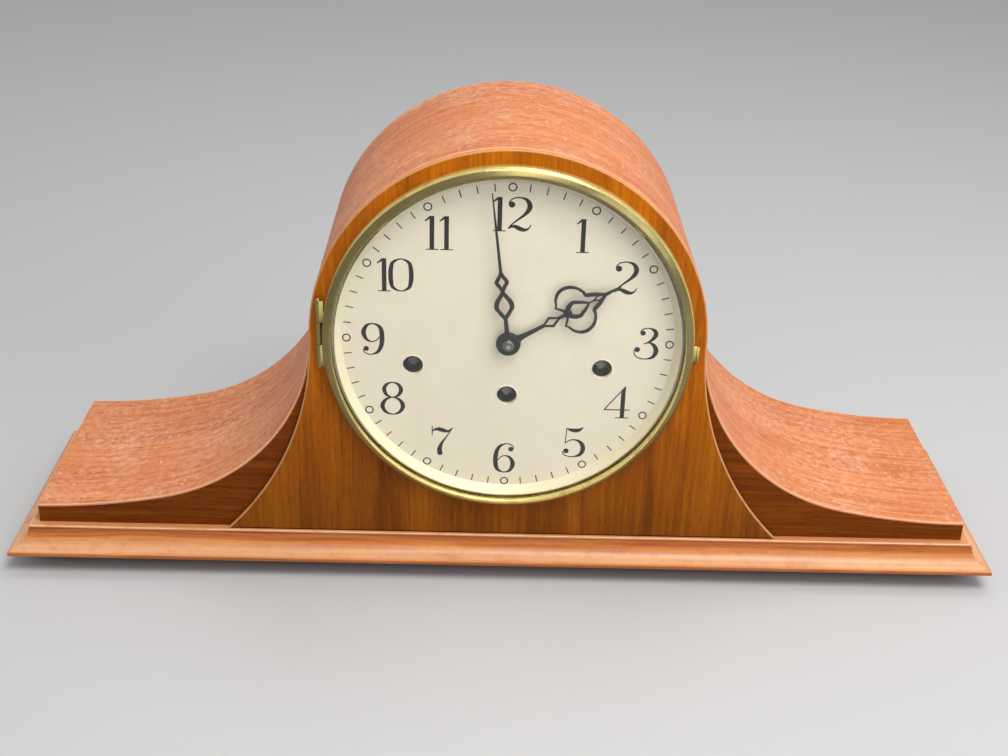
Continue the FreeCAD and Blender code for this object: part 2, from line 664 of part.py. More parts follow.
def bezel_ring():
    """The hinged ring: an upright edge, a slope and a lip over the crystal's edge."""
    outer = s.bezelRadius
    profile = [(outer, bezel_back), (outer, bezel_back + s.bezelShoulder), (outer - s.bezelCrown, bezel_front),
               (lip_inner, bezel_front), (lip_inner, crystal_front), (ring_inner, crystal_front),
               (ring_inner, bezel_back)]
    body = new_body("bezel_ring", facing(0, 0, 0))
    revolve(body, polygon(profile))
    keep(body, "bezel_ring")


def faceted_dome(rim, foot):
    """A solid of flat facets: up the rim's radii and heights, then over the dome above the height foot."""
    margin = lip_inner - s.glassGap
    slices = rim + [(share * margin, foot + s.crystalDome * (1 - share ** 2)) for share in domeShares]
    rings = [[Vector(*polar(radius, 360 * k / GLASS_FLATS), height) for k in range(GLASS_FLATS)]
             for radius, height in slices]
    outlines = [rings[0], rings[-1]]
    for low, high in zip(rings, rings[1:]):
        for k in range(GLASS_FLATS):
            outlines.append([low[k - 1], low[k], high[k], high[k - 1]])
    faces = [Part.Face(Part.makePolygon(points + points[:1])) for points in outlines]
    return Part.Solid(Part.Shell(faces))


def crystal():
    """A domed glass of even thickness with its flat edge behind the bezel's lip."""
    outside = faceted_dome([(crystal_radius, crystal_back), (crystal_radius, crystal_front)], crystal_front)
    part = document.addObject("Part::Feature", "crystal")
    part.Shape = outside.cut(faceted_dome([], crystal_back))
    part.Placement = facing(0, 0, 0)
    keep(part, "crystal")


def crystal_clips():
    """Small brass clips inside the bezel ring that hold the glass against the lip."""
    clips = []
    for index in range(CRYSTAL_CLIPS):
        turn = Rotation(Vector(0, 0, 1), 360 * (index + 0.5) / CRYSTAL_CLIPS)
        blank = document.addObject("Part::Box", "clip_blank")
        blank.setExpression("Length", "2 * Sizes.clipReach")
        blank.setExpression("Width", "Sizes.clipWidth")
        blank.setExpression("Height", "Sizes.clipHeight")
        corner = Vector(ring_inner - s.clipReach, -s.clipWidth / 2, crystal_back - s.clipHeight)
        blank.Placement = facing(0, 0, 0).multiply(Placement(Vector(), turn)).multiply(Placement(corner, Rotation()))
        trimmed = document.addObject("Part::MultiCommon", "clip")
        reach = cylinder("clip_reach", "Sizes.bezelRadius - Sizes.bezelWall", "2 * Sizes.bezelRise",
                         facing(0, 0, panel_face))
        trimmed.Shapes = [blank, reach]
        clips.append(trimmed)
    group("crystal_clips", clips)


def dial_pan():
    """A flat dial with a raised rim that flares to a thin edge, and four holes."""
    back = s.dialFace - s.dialThickness
    profile = [(0, back), (s.dialRadius + s.rimThickness, back), (s.rimRadius, s.dialFace + s.rimHeight),
               (s.dialRadius, s.dialFace), (0, s.dialFace)]
    body = new_body("dial_pan", facing(0, 0, 0))
    revolve(body, polygon(profile))
    holes = flats(s.dialCentreHole)
    for x, up in winding_places():
        holes += flats(s.windingHole, RIM_FLATS, x, up)
    pocket_through(body, holes)
    keep(body, "dial_pan")


def winding_places():
    """Strike on the left, time in the middle and chime on the right."""
    return [(-s.windingSpread, -s.windingDrop), (0, -s.timeDrop), (s.windingSpread, -s.windingDrop)]


def dial_feet():
    """Pins riveted behind the dial that stand on the movement's front plate."""
    places = [(side * s.footPinSpread, s.footPinLift) for side in (-1, 1)]
    places += [(side * s.lowPinSpread, -s.lowPinDrop) for side in (-1, 1)]
    length = "Sizes.frontPlateDepth + Sizes.dialFace - Sizes.dialThickness"
    pins = [rod("dial_foot", "Sizes.footPinRadius", length, facing(x, up, -s.frontPlateDepth)) for x, up in places]
    group("dial_feet", pins)


def bezel_tab():
    """A finger tab on the right of the bezel, cut to the ring's curve."""
    blank = document.addObject("Part::Box", "tab_blank")
    blank.setExpression("Length", "Sizes.tabReach + Sizes.bezelShoulder")
    blank.setExpression("Width", "Sizes.tabHeight")
    blank.setExpression("Height", "Sizes.tabThickness")
    low = -s.tabDrop - s.tabHeight / 2
    blank.Placement = facing(s.bezelRadius - s.bezelShoulder, low, bezel_back)
    ring = cylinder("tab_ring", "Sizes.bezelRadius", "Sizes.bezelRise", facing(0, 0, bezel_back))
    keep(cut("bezel_tab", blank, ring), "bezel_tab")


hinge_x = -(s.bezelRadius + s.hingeGap + s.barrelRadius)
hinge_forward = panel_face + s.hingeRise


def hinge_segment(name, low, height, web_corner, web_length, web_depth):
    """A length of the bezel hinge's barrel with a web to what carries it, bored for the pin."""
    base = s.centreHeight + s.hingeLift + low
    axis = Placement(Vector(hinge_x, front_y - hinge_forward, base), Rotation())
    barrel = rod(name + "_barrel", "Sizes.barrelRadius", height, axis)
    web = block(name + "_web", web_length, web_depth, height, Vector(*web_corner, base))
    bore = rod(name + "_bore", f"(Sizes.hingePin + Sizes.fitGap) * {boreShare}", height, axis)
    return cut(name, fuse(name + "_blank", [barrel, web]), bore)


def bezel_hinge():
    """The middle third of the barrel stands on the panel, and the outer thirds ride on the bezel ring."""
    axis_y = front_y - hinge_forward
    half, sixth = s.hingeLength / 2, s.hingeLength / 6
    keep(hinge_segment("hinge_middle", -sixth, "Sizes.hingeLength / 3", (hinge_x - s.barrelRadius, axis_y),
                       "2 * Sizes.barrelRadius", "Sizes.hingeRise"), "bezel_hinge_fixed")
    outer = []
    for low in (-half, sixth + s.hingeGap):
        leaf = hinge_segment("ring_leaf", low, "Sizes.hingeLength / 3 - Sizes.hingeGap",
                             (hinge_x, axis_y - s.barrelRadius),
                             "Sizes.barrelRadius + Sizes.hingeGap + Sizes.bezelWall", "Sizes.barrelRadius")
        ring = cylinder("leaf_ring", "Sizes.bezelRadius", "2 * Sizes.bezelRise", facing(0, 0, panel_face))
        outer.append(cut("fitted_leaf", leaf, ring))
    group("bezel_hinge_moving", outer)
    foot = Placement(Vector(hinge_x, axis_y, s.centreHeight + s.hingeLift - half), Rotation())
    keep(rod("hinge_pin", "Sizes.hingePin", "Sizes.hingeLength", foot), "bezel_hinge_pin")


# The hands lie flat, each drawn pointing to twelve and turned to its hour.


def hand_frame(level, clockwise):
    turn = Rotation(Vector(1, 0, 0), 90).multiply(Rotation(Vector(0, 0, 1), -clockwise))
    return Placement(Vector(0, front_y - level, s.centreHeight), turn)


def leaf(start, widest, end, half_width):
    """Two bowed sides from start to end, through the widest place."""
    return [arc((0, start), (side * half_width, widest), (0, end)) for side in (-1, 1)]


def open_leaf(start, widest, end, half_width):
    return leaf(start, widest, end, half_width) + leaf(start + 2 * s.handLine, widest, end - 2 * s.handLine,
                                                      half_width - s.handLine)


def lozenge(start, widest, end, half_width):
    return polygon([(0, start), (half_width, widest), (0, end), (-half_width, widest)])


def strip(start, end, half_start, half_end):
    return polygon([(-half_start, start), (half_start, start), (half_end, end), (-half_end, end)])


def scroll(side):
    """An open C of short straight lengths, widest at its middle."""
    outer, inner = [], []
    for step in range(ROD_FLATS + 1):
        angle = 180 * step / ROD_FLATS - 90
        width = s.scrollEnd + (s.scrollWidth - s.scrollEnd) * math.cos(math.radians(angle))
        for points, radius in ((outer, s.scrollRadius), (inner, s.scrollRadius - width)):
            x, out = polar(radius, angle, s.scrollSpread, s.scrollCentre)
            points.append((side * x, out))
    return polygon(outer + inner[::-1])


def minute_hand():
    body = new_body("minute_hand", hand_frame(s.minuteLevel, MINUTE_HAND_ANGLE))
    lap = s.handLine
    pinch = s.minuteLeafEnd
    inner_half = s.minuteLozengeHalf - s.handLine
    shapes = [
        flats(s.minuteBoss, RIM_FLATS) + bore_flats(s.cannonRadius),
        strip(s.minuteBoss - lap, s.minuteLeafStart + lap, s.minuteStem, s.minuteStem),
        open_leaf(s.minuteLeafStart, s.minuteLeafWidest, s.minuteLeafEnd, s.minuteLeafHalf),
        strip(pinch - lap, pinch + lap, s.minuteStem, s.minuteStem),
        lozenge(pinch, s.minuteLozengeWidest, s.minuteLozengeEnd, s.minuteLozengeHalf)
        + lozenge(pinch + 2 * lap, s.minuteLozengeWidest, s.minuteLozengeEnd - 2 * lap, inner_half),
        strip(s.minuteLozengeEnd - lap, s.minuteLength, s.minuteNeedle, s.minuteTip),
    ]
    for edges in shapes:
        pad(body, edges, "Sizes.handThickness")
    keep(body, "minute_hand")


def hour_hand():
    body = new_body("hour_hand", hand_frame(s.hourLevel, HOUR_HAND_ANGLE))
    lap = s.handLine
    inner_half = s.hourLozengeHalf - s.handLine
    lozenge_middle = (s.hourLozengeStart + s.hourLozengeEnd) / 2
    shapes = [
        flats(s.hourBoss, RIM_FLATS) + bore_flats(s.hourPipe),
        strip(s.hourBoss - lap, s.hourLozengeStart + lap, s.hourStem, s.hourStem),
        lozenge(s.hourLozengeStart, lozenge_middle, s.hourLozengeEnd, s.hourLozengeHalf)
        + lozenge(s.hourLozengeStart + lap, lozenge_middle, s.hourLozengeEnd - lap, inner_half),
        strip(s.hourLozengeEnd - lap, s.hourLeafStart + 2 * lap, s.hourStem, s.hourStem),
    ]
    heel, crown = s.scrollCentre - s.scrollRadius, s.scrollCentre + s.scrollRadius - s.scrollEnd
    meet = s.scrollMeet - 2 * lap
    for side in (-1, 1):
        near, far = side * (s.scrollSpread - lap), side * (s.scrollSpread + lap)
        shapes.append(scroll(side))
        shapes.append(polygon([(0, s.hourLeafStart), (0, s.hourLeafStart + 2 * lap), (far, heel + s.scrollEnd),
                               (side * s.scrollSpread, heel)]))
        shapes.append(polygon([(near, crown), (far, crown), (0, s.scrollMeet), (0, meet)]))
    shapes.append(flats(s.heartRadius, ROD_FLATS, 0, s.hourLeafStart + lap))
    shapes.append(open_leaf(s.hourLeafStart, s.hourLeafWidest, s.hourLeafEnd, s.hourLeafHalf))
    shapes.append(strip(s.hourLeafEnd - lap, meet + lap, s.hourTip, s.hourTip))
    shapes.append(lozenge(s.tipLozengeStart, s.tipLozengeWidest, s.tipLozengeEnd, s.tipLozengeHalf))
    shapes.append(strip(meet, s.hourLength, s.handLine, s.hourTip))
    for edges in shapes:
        pad(body, edges, "Sizes.handThickness")
    keep(body, "hour_hand")


def hand_nut():
    body = new_body("hand_nut", facing(0, 0, s.minuteLevel + s.handThickness))
    pad(body, flats(s.nutRadius, RIM_FLATS) + bore_flats(s.centreArbor), "Sizes.nutHeight")
    keep(body, "hand_nut")


# Toothed wheels: pointed, straight-flanked teeth, slim enough to run free all the way round.


def gear(teeth, module, phase):
    """A tip and a root for each tooth, with one tooth's tip at the angle phase."""
    tip, root = module * (teeth / 2 + addendumShare), module * (teeth / 2 - dedendumShare)
    half = 180 / teeth
    points = []
    for k in range(teeth):
        points += [polar(tip, phase + 2 * k * half), polar(root, phase + (2 * k + 1) * half)]
    return polygon(points)


def facing_gap(angle, teeth):
    """The phase that puts a gap, not a tooth, towards the wheel that lies back along angle."""
    return angle + 180 + 180 / teeth


def mesh_distance(module, first, second):
    return module * (first + second) / 2


def saw(teeth, tip, depth, lean):
    """A ratchet outline: one upright side and one long slope on each tooth."""
    pitch = 360 / teeth
    points = []
    for k in range(teeth):
        points += [polar(tip, k * pitch), polar(tip - depth, k * pitch + lean)]
    return polygon(points)


motion_distance = mesh_distance(s.motionModule, CANNON_TEETH, MINUTE_WHEEL_TEETH)
minute_wheel_place = polar(motion_distance, MINUTE_WHEEL_ANGLE)
great_distance = mesh_distance(s.greatModule, GREAT_TEETH, SECOND_PINION_TEETH)
second_distance = mesh_distance(s.middleModule, SECOND_TEETH, CENTRE_PINION_TEETH)
second_swing = math.degrees(math.acos(
    (great_distance ** 2 + s.timeDrop ** 2 - second_distance ** 2) / (2 * great_distance * s.timeDrop)))
second_place = polar(great_distance, 90 - second_swing, 0, -s.timeDrop)
third_place = polar(mesh_distance(s.trainModule, CENTRE_TEETH, THIRD_PINION_TEETH), THIRD_ANGLE)
escape_place = polar(mesh_distance(s.trainModule, THIRD_TEETH, ESCAPE_PINION_TEETH), ESCAPE_ANGLE, *third_place)


def cannon_pinion():
    """A pipe that carries the minute hand, with a pinion behind the dial."""
    back = s.minuteWheelDepth + s.wheelThickness + s.pinionMargin
    body = new_body("cannon_pinion", facing(0, 0, -back))
    bore = bore_flats(s.centreArbor)
    pad(body, gear(CANNON_TEETH, s.motionModule, MINUTE_WHEEL_ANGLE) + bore,
        "Sizes.wheelThickness + 2 * Sizes.pinionMargin")
    pad(body, flats(s.cannonRadius) + bore,
        "Sizes.minuteWheelDepth + Sizes.wheelThickness + Sizes.pinionMargin + Sizes.minuteLevel + Sizes.handThickness")
    keep(body, "cannon_pinion")


def minute_wheel():
    """The wheel that the cannon pinion turns, with the pinion that turns the hour wheel."""
    body = new_body("minute_wheel", facing(*minute_wheel_place, -s.minuteWheelDepth - s.wheelThickness))
    bore = bore_flats(s.arborRadius)
    pad(body, gear(MINUTE_WHEEL_TEETH, s.motionModule, facing_gap(MINUTE_WHEEL_ANGLE, MINUTE_WHEEL_TEETH)) + bore,
        "Sizes.wheelThickness")
    pad(body, gear(MINUTE_PINION_TEETH, s.motionModule, MINUTE_WHEEL_ANGLE + 180) + bore,
        "Sizes.minuteWheelDepth + Sizes.wheelThickness - Sizes.hourWheelDepth + Sizes.pinionMargin")
    keep(body, "minute_wheel")


def hour_wheel():
    """The wheel on the pipe that carries the hour hand."""
    body = new_body("hour_wheel", facing(0, 0, -s.hourWheelDepth - s.wheelThickness))
    bore = bore_flats(s.cannonRadius)
    phase = facing_gap(MINUTE_WHEEL_ANGLE + 180, HOUR_WHEEL_TEETH)
    pad(body, gear(HOUR_WHEEL_TEETH, s.motionModule, phase) + bore, "Sizes.wheelThickness")
    pad(body, flats(s.hourPipe) + bore,
        "Sizes.hourWheelDepth + Sizes.wheelThickness + Sizes.hourLevel + Sizes.handThickness")
    keep(body, "hour_wheel")


def spin_axis(x, up, depth):
    """A frame whose Z runs forward, its base depth behind the front plate's inner face."""
    return facing(x, up, -front_plate_back - depth)


def train_arbor(label, place, wheel, wheel_depth, pinion, pinion_depth):
    """An arbor between the plates with a wheel and a pinion, given as outlines and their depths."""
    body = new_body(label, spin_axis(*place, s.plateGap - s.arborShake))
    pad(body, flats(s.arborRadius, ARBOR_FLATS), "Sizes.plateGap - 2 * Sizes.arborShake")
    back = "Sizes.plateGap - Sizes.arborShake - "
    pad(body, wheel, "Sizes.wheelThickness", back + f"({wheel_depth} + Sizes.wheelThickness)")
    pad(body, pinion, "Sizes.wheelThickness + 2 * Sizes.pinionMargin",
        back + f"({pinion_depth} + Sizes.wheelThickness + Sizes.pinionMargin)")
    keep(body, label)


def second_wheel():
    place_angle = math.degrees(math.atan2(second_place[1], second_place[0]))
    wheel = gear(SECOND_TEETH, s.middleModule, place_angle + 180)
    pinion = gear(SECOND_PINION_TEETH, s.greatModule, facing_gap(90 - second_swing, SECOND_PINION_TEETH))
    train_arbor("second_wheel", second_place, wheel, "Sizes.secondWheelDepth",
                pinion, "Sizes.drumDepth + Sizes.drumLength")


def third_wheel():
    wheel = gear(THIRD_TEETH, s.trainModule, ESCAPE_ANGLE)
    pinion = gear(THIRD_PINION_TEETH, s.trainModule, facing_gap(THIRD_ANGLE, THIRD_PINION_TEETH))
    train_arbor("third_wheel", third_place, wheel, "Sizes.thirdWheelDepth", pinion, "Sizes.centreWheelDepth")


def escape_wheel():
    wheel = saw(ESCAPE_TEETH, s.escapeRadius, s.escapeTooth, 6)
    pinion = gear(ESCAPE_PINION_TEETH, s.trainModule, facing_gap(ESCAPE_ANGLE, ESCAPE_PINION_TEETH))
    train_arbor("escape_wheel", escape_place, wheel, "Sizes.escapeWheelDepth", pinion, "Sizes.thirdWheelDepth")


def centre_arbor():
    """The arbor that carries the hands, with the centre wheel and the pinion that drives it."""
    body = new_body("centre_arbor", spin_axis(0, 0, s.plateGap - s.arborShake))
    pad(body, flats(s.centreArbor),
        "Sizes.plateGap - Sizes.arborShake + Sizes.plateThickness + Sizes.frontPlateDepth"
        " + Sizes.minuteLevel + Sizes.handThickness + Sizes.nutHeight + Sizes.arborEnd")
    back = "Sizes.plateGap - Sizes.arborShake - "
    pad(body, gear(CENTRE_TEETH, s.trainModule, THIRD_ANGLE), "Sizes.wheelThickness",
        back + "(Sizes.centreWheelDepth + Sizes.wheelThickness)")
    angle = math.degrees(math.atan2(second_place[1], second_place[0]))
    pad(body, gear(CENTRE_PINION_TEETH, s.middleModule, angle + 180 / CENTRE_PINION_TEETH),
        "Sizes.wheelThickness + 2 * Sizes.pinionMargin",
        back + "(Sizes.secondWheelDepth + Sizes.wheelThickness + Sizes.pinionMargin)")
    keep(body, "centre_arbor")


def spring_barrel(label, place, rim):
    """A drum for the mainspring with a wider rim at the back, bored for the winding arbor."""
    bore = bore_flats(s.windingArbor)
    body = new_body(label, spin_axis(*place, s.drumDepth + s.drumLength + s.greatThickness))
    pad(body, rim + bore, "Sizes.greatThickness")
    pad(body, flats(s.drumRadius, RIM_FLATS) + bore, "Sizes.drumLength + Sizes.greatThickness")
    keep(body, label)


def winding_arbor(label, place):
    """A long arbor with a ratchet wheel in front of the plate and a square for the key."""
    body = new_body(label, spin_axis(*place, s.plateGap - s.arborShake))
    to_plate = "Sizes.plateGap - Sizes.arborShake + Sizes.plateThickness"
    pad(body, flats(s.windingArbor), to_plate + " + Sizes.arborShake + Sizes.ratchetThickness")
    pad(body, saw(RATCHET_TEETH, s.ratchetRadius, s.ratchetTooth, 4), "Sizes.ratchetThickness",
        to_plate + " + Sizes.arborShake")
    half = s.windingSquare / 2
    square = polygon([polar(half * math.sqrt(2), k * 90) for k in range(4)])
    pad(body, square, to_plate + " + Sizes.frontPlateDepth - Sizes.squareDepth")
    keep(body, label)


def ratchet_clicks():
    """A click beside each ratchet, riveted to the front plate, its tip just clear of the teeth."""
    clicks = []
    for (x, up), lean in zip(winding_places(), (90, 0, 90)):
        body = new_body("ratchet_click", facing(x, up, -s.frontPlateDepth))
        tip = s.ratchetRadius + s.clickGap
        end = tip + s.clickLength
        half = s.clickWidth / 2
        outline = [(tip, 0), (end, -half), (end + half, 0), (end, half), (tip + half, half)]
        turned = [polar(math.hypot(*p), lean + math.degrees(math.atan2(p[1], p[0]))) for p in outline]
        pad(body, polygon(turned), "Sizes.ratchetThickness")
        clicks.append(body)
    group("ratchet_clicks", clicks)


def plate_outline():
    right, corner = s.plateHalfWidth, s.plateCorner
    top, low = s.plateRise, -s.plateDrop
    half = [(right - corner, low), (right, low + corner), (right, top - corner), (right - corner, top)]
    return polygon(half + [flipped(p) for p in reversed(half)])


def front_plate():
    """The movement's front plate, with the stud for the minute wheel."""
    body = new_body("front_plate", facing(0, 0, -front_plate_back))
    bores = bore_flats(s.centreArbor)
    for x, up in winding_places():
        bores += bore_flats(s.windingArbor, x, up)
    pad(body, plate_outline() + bores, "Sizes.plateThickness")
    pad(body, flats(s.arborRadius, ROD_FLATS, *minute_wheel_place),
        "Sizes.plateThickness + Sizes.frontPlateDepth - Sizes.hourWheelDepth + Sizes.pinionMargin")
    keep(body, "front_plate")


def lever_place():
    return (escape_place[0], escape_place[1] + s.palletLift)


def back_plate():
    body = new_body("back_plate", facing(0, 0, -back_plate_back))
    pad(body, plate_outline() + bore_flats(s.arborRadius, *lever_place()), "Sizes.plateThickness")
    keep(body, "back_plate")


def plate_pillars():
    side = s.plateHalfWidth - s.pillarInset
    places = [(sign * side, up) for sign in (-1, 1)
              for up in (s.plateRise - s.plateCorner, s.plateCorner - s.plateDrop)]
    places.append((0, s.plateRise - s.pillarInset))
    pillars = [rod("plate_pillar", "Sizes.pillarRadius", "Sizes.plateGap", spin_axis(x, up, s.plateGap))
               for x, up in places]
    group("plate_pillars", pillars)


def strap(name, run, foot, place, turn):
    """A cranked strap: a foot on the front board's back and a lap on the front plate's face."""
    high, low, thick = s.frontPlateDepth, s.frontBoard, s.strapThickness
    profile = [(-s.strapLap, high - thick), (run, high - thick), (run, low), (run + foot, low),
               (run + foot, low + thick), (run + thick, low + thick), (run + thick, high), (-s.strapLap, high)]
    body = new_body(name, Placement(place, turn))
    symmetric_pad(body, polygon(profile), "Sizes.strapWidth", "XZ_Plane")
    return body


def movement_straps():
    """Two straps to the sides and two below, each with local X outward and Z backward."""
    back = Vector(0, 1, 0)
    side_run = math.sqrt(s.openingRadius ** 2 - (s.sideStrapDrop - s.strapWidth / 2) ** 2) - s.plateHalfWidth
    straps = []
    for sign in (-1, 1):
        place = Vector(sign * s.plateHalfWidth, front_y, s.centreHeight - s.sideStrapDrop)
        turn = Rotation(Vector(sign, 0, 0), Vector(), back, "ZXY")
        straps.append(strap("side_strap", side_run + s.strapThickness / 2, s.sideStrapFoot, place, turn))
    for sign in (-1, 1):
        place = Vector(sign * s.lowStrapSpread, front_y, s.centreHeight - s.plateDrop)
        turn = Rotation(Vector(0, 0, -1), Vector(), back, "ZXY")
        straps.append(strap("low_strap", s.openingRadius - s.plateDrop, s.strapFoot, place, turn))
    group("movement_straps", straps)


# The balance turns on an upright staff behind the back plate, and a lever links it to the escape wheel.

staff_y = front_y + back_plate_back + s.balanceBack
balance_base = s.centreHeight + s.balanceLow


def balance_bracket():
    """A C-shaped bracket: a leg on the back plate, and an arm above and below the staff."""
    reach = s.balanceBack + s.bracketNose
    stock, height = s.bracketStock, s.bracketHeight
    profile = [(0, 0), (reach, 0), (reach, stock), (stock, stock), (stock, height - stock),
               (reach, height - stock), (reach, height), (0, height)]
    body = new_body("balance_bracket", Placement(
        Vector(-s.balanceSide, front_y + back_plate_back, balance_base), Rotation()))
    symmetric_pad(body, polygon(profile), "Sizes.bracketWidth", "YZ_Plane")
    keep(body, "balance_bracket")


def balance_wheel():
    """An upright staff with a roller, and a rim on two arms."""
    place = Placement(Vector(-s.balanceSide, staff_y, balance_base), Rotation())
    body = new_body("balance_wheel", place)
    lift = "Sizes.bracketStock + Sizes.arborShake"
    pad(body, flats(s.staffRadius), "Sizes.bracketHeight - 2 * Sizes.bracketStock - 2 * Sizes.arborShake", lift)
    wheel_lift = lift + " + Sizes.balanceHeight"
    rim = flats(s.balanceRadius, RIM_FLATS) + flats(s.balanceRadius - s.balanceRim, RIM_FLATS)
    pad(body, rim, "Sizes.balanceThickness", wheel_lift)
    half, reach = s.balanceRim / 2, s.balanceRadius - s.balanceRim / 2
    arm = polygon([(-reach, -half), (reach, -half), (reach, half), (-reach, half)])
    pad(body, arm, "Sizes.balanceThickness", wheel_lift)
    keep(body, "balance_wheel")


def balance_spring():
    """The sleeve of the upright balance spring, above the wheel."""
    lift = s.bracketStock + s.arborShake + s.balanceHeight + s.balanceThickness
    place = Placement(Vector(-s.balanceSide, staff_y, balance_base + lift), Rotation())
    body = new_body("balance_spring", place)
    pad(body, flats(s.springSleeve) + bore_flats(s.staffRadius), "Sizes.sleeveLength")
    keep(body, "balance_spring")


def pallet_lever():
    """The anchor over the escape wheel, its arbor through the back plate and a fork behind it."""
    x, up = lever_place()
    body = new_body("pallet_lever", spin_axis(x, up, s.plateGap + s.plateThickness + s.forkDepth))
    through = "Sizes.forkDepth + Sizes.plateThickness"
    pad(body, flats(s.arborRadius),
        through + " + Sizes.plateGap - Sizes.escapeWheelDepth + Sizes.palletThickness")
    reach = s.palletReach
    low = s.escapeRadius + s.palletGap
    foot = math.sqrt(max(low ** 2 - (reach - s.palletThickness) ** 2, 0)) - s.palletLift
    anchor = [(-reach, foot), (s.palletThickness - reach, foot), (0, -2 * s.palletThickness),
              (reach - s.palletThickness, foot), (reach, foot), (s.palletThickness, s.palletThickness),
              (-s.palletThickness, s.palletThickness)]
    pad(body, polygon(anchor), "Sizes.palletThickness",
        through + " + Sizes.plateGap - Sizes.escapeWheelDepth - Sizes.wheelThickness")
    half = s.palletThickness
    fork = polygon([(s.arborRadius, -half), (s.arborRadius, half), (-s.forkReach, half), (-s.forkReach, -half)])
    pad(body, fork, "Sizes.palletThickness")
    keep(body, "pallet_lever")


# The chime: rods screwed into an iron block, and a row of hammers on one arbor.


def rod_y(index):
    return front_y + back_plate_back + s.rodFirst + index * s.rodPitch


def chime_block():
    corner = Vector(s.blockStart, rod_y(0) - s.blockMargin, s.baseTop)
    width = f"{HAMMERS - 1} * Sizes.rodPitch + 2 * Sizes.blockMargin"
    keep(block("chime_block", "Sizes.blockLength", width, "Sizes.blockHeight", corner), "chime_block")


def chime_rods():
    """Tuned rods of falling length, running from the block under the movement."""
    rods = []
    along = Rotation(Vector(0, 1, 0), -90)
    for index in range(HAMMERS):
        place = Placement(Vector(s.blockStart, rod_y(index), s.rodHeight), along)
        share = 1 - index * rodStepShare
        rods.append(rod("chime_rod", "Sizes.rodRadius", f"{share} * Sizes.rodLongest", place))
    group("chime_rods", rods)


def hammer(index):
    """A hub on the arbor, an arm out and down, and a square head over the rod."""
    across = Rotation(Vector(1, 0, 0), 90)
    place = Vector(s.hammerPivot, rod_y(index) + s.hammerHubWidth / 2, s.hammerPivotHeight)
    label = f"chime_hammer_{index + 1}"
    body = new_body(label, Placement(place, across))
    pad(body, flats(s.hammerHub) + bore_flats(s.hammerArbor), "Sizes.hammerHubWidth")
    half, reach = s.hammerWire / 2, s.hammerReach
    head_low = s.rodHeight + s.rodRadius + s.hammerRest - s.hammerPivotHeight
    head_top = head_low + s.hammerHeadLength
    start = s.hammerHub - half
    arm = [(start, -half), (reach - half, -half), (reach - half, head_top), (reach + half, head_top),
           (reach + half, half), (start, half)]
    pad(body, polygon(arm), "Sizes.hammerWire", "(Sizes.hammerHubWidth - Sizes.hammerWire) / 2")
    left, right = reach - s.hammerHead / 2, reach + s.hammerHead / 2
    head = [(left, head_low), (right, head_low), (right, head_top), (left, head_top)]
    pad(body, polygon(head), "Sizes.hammerHead", "(Sizes.hammerHubWidth - Sizes.hammerHead) / 2")
    keep(body, label)


def hammer_bracket():
    """Two lugs joined by a rail behind the back plate, with the hammers' arbor between them."""
    y = front_y + back_plate_back
    reach = s.rodFirst + (HAMMERS - 1) * s.rodPitch + s.hammerHubWidth / 2 + s.fitGap
    reach_text = f"Sizes.rodFirst + {HAMMERS - 1} * Sizes.rodPitch + Sizes.hammerHubWidth / 2 + Sizes.fitGap"
    left, low = s.hammerPivot - s.hammerHub, s.hammerPivotHeight - s.hammerHub
    thick, hub = "Sizes.lugThickness", "2 * Sizes.hammerHub"
    plate_lap = "Sizes.centreHeight - Sizes.plateDrop + Sizes.plateCorner - Sizes.hammerPivotHeight + Sizes.hammerHub"
    inner = block("inner_lug", hub, thick, plate_lap, Vector(left, y, low))
    outer = block("outer_lug", hub, thick, hub + " + Sizes.hammerWire + Sizes.railHeight", Vector(left, y + reach, low))
    rail_low = s.hammerPivotHeight + s.hammerHub + s.hammerWire
    rail = block("lug_rail", thick, f"{reach_text} + {thick}", "Sizes.railHeight", Vector(left, y, rail_low))
    axis = Placement(Vector(s.hammerPivot, y, s.hammerPivotHeight), Rotation(Vector(1, 0, 0), -90))
    arbor = rod("hammer_arbor", "Sizes.hammerArbor", f"{reach_text} + {thick}", axis)
    keep(fuse("hammer_bracket", [inner, outer, rail, arbor]), "hammer_bracket")


base_board()
foot_pads()
moulding_front()
moulding_side("moulding_left", -1)
moulding_side("moulding_right", 1)
front_board()
centre_panel()
top_skin()
wing_tip_blocks()
back_board()
back_door()
back_hinges()
door_knob()
bezel_ring()
crystal()
crystal_clips()
dial_pan()
dial_feet()
bezel_tab()
bezel_hinge()
minute_hand()
hour_hand()
hand_nut()
cannon_pinion()
minute_wheel()
hour_wheel()
centre_arbor()
second_wheel()
third_wheel()
escape_wheel()
strike_place, time_place, chime_place = winding_places()
plain_rim = flats(s.greatModule * GREAT_TEETH / 2, RIM_FLATS)
spring_barrel("strike_barrel", strike_place, plain_rim)
spring_barrel("time_barrel", time_place, gear(GREAT_TEETH, s.greatModule, 90 - second_swing))
spring_barrel("chime_barrel", chime_place, plain_rim)
winding_arbor("strike_winding_arbor", strike_place)
winding_arbor("time_winding_arbor", time_place)
winding_arbor("chime_winding_arbor", chime_place)
ratchet_clicks()
front_plate()
back_plate()
plate_pillars()
movement_straps()
balance_bracket()
balance_wheel()
balance_spring()
pallet_lever()
chime_block()
chime_rods()
for hammer_index in range(HAMMERS):
    hammer(hammer_index)
hammer_bracket()

document.recompute()
for item in document.Objects:
    if "Invalid" in item.State or "Error" in item.State:
        raise RuntimeError(f"{item.Label} failed: {item.State}")
for part in parts:
    if part.Shape.isNull() or not part.Shape.isValid():
        raise RuntimeError(f"{part.Label} has no valid shape")
for part in parts:
    part.Shape.exportStep(f"parts/{part.Label}.step")
    print(part.Label, len(part.Shape.Solids), round(part.Shape.Volume))
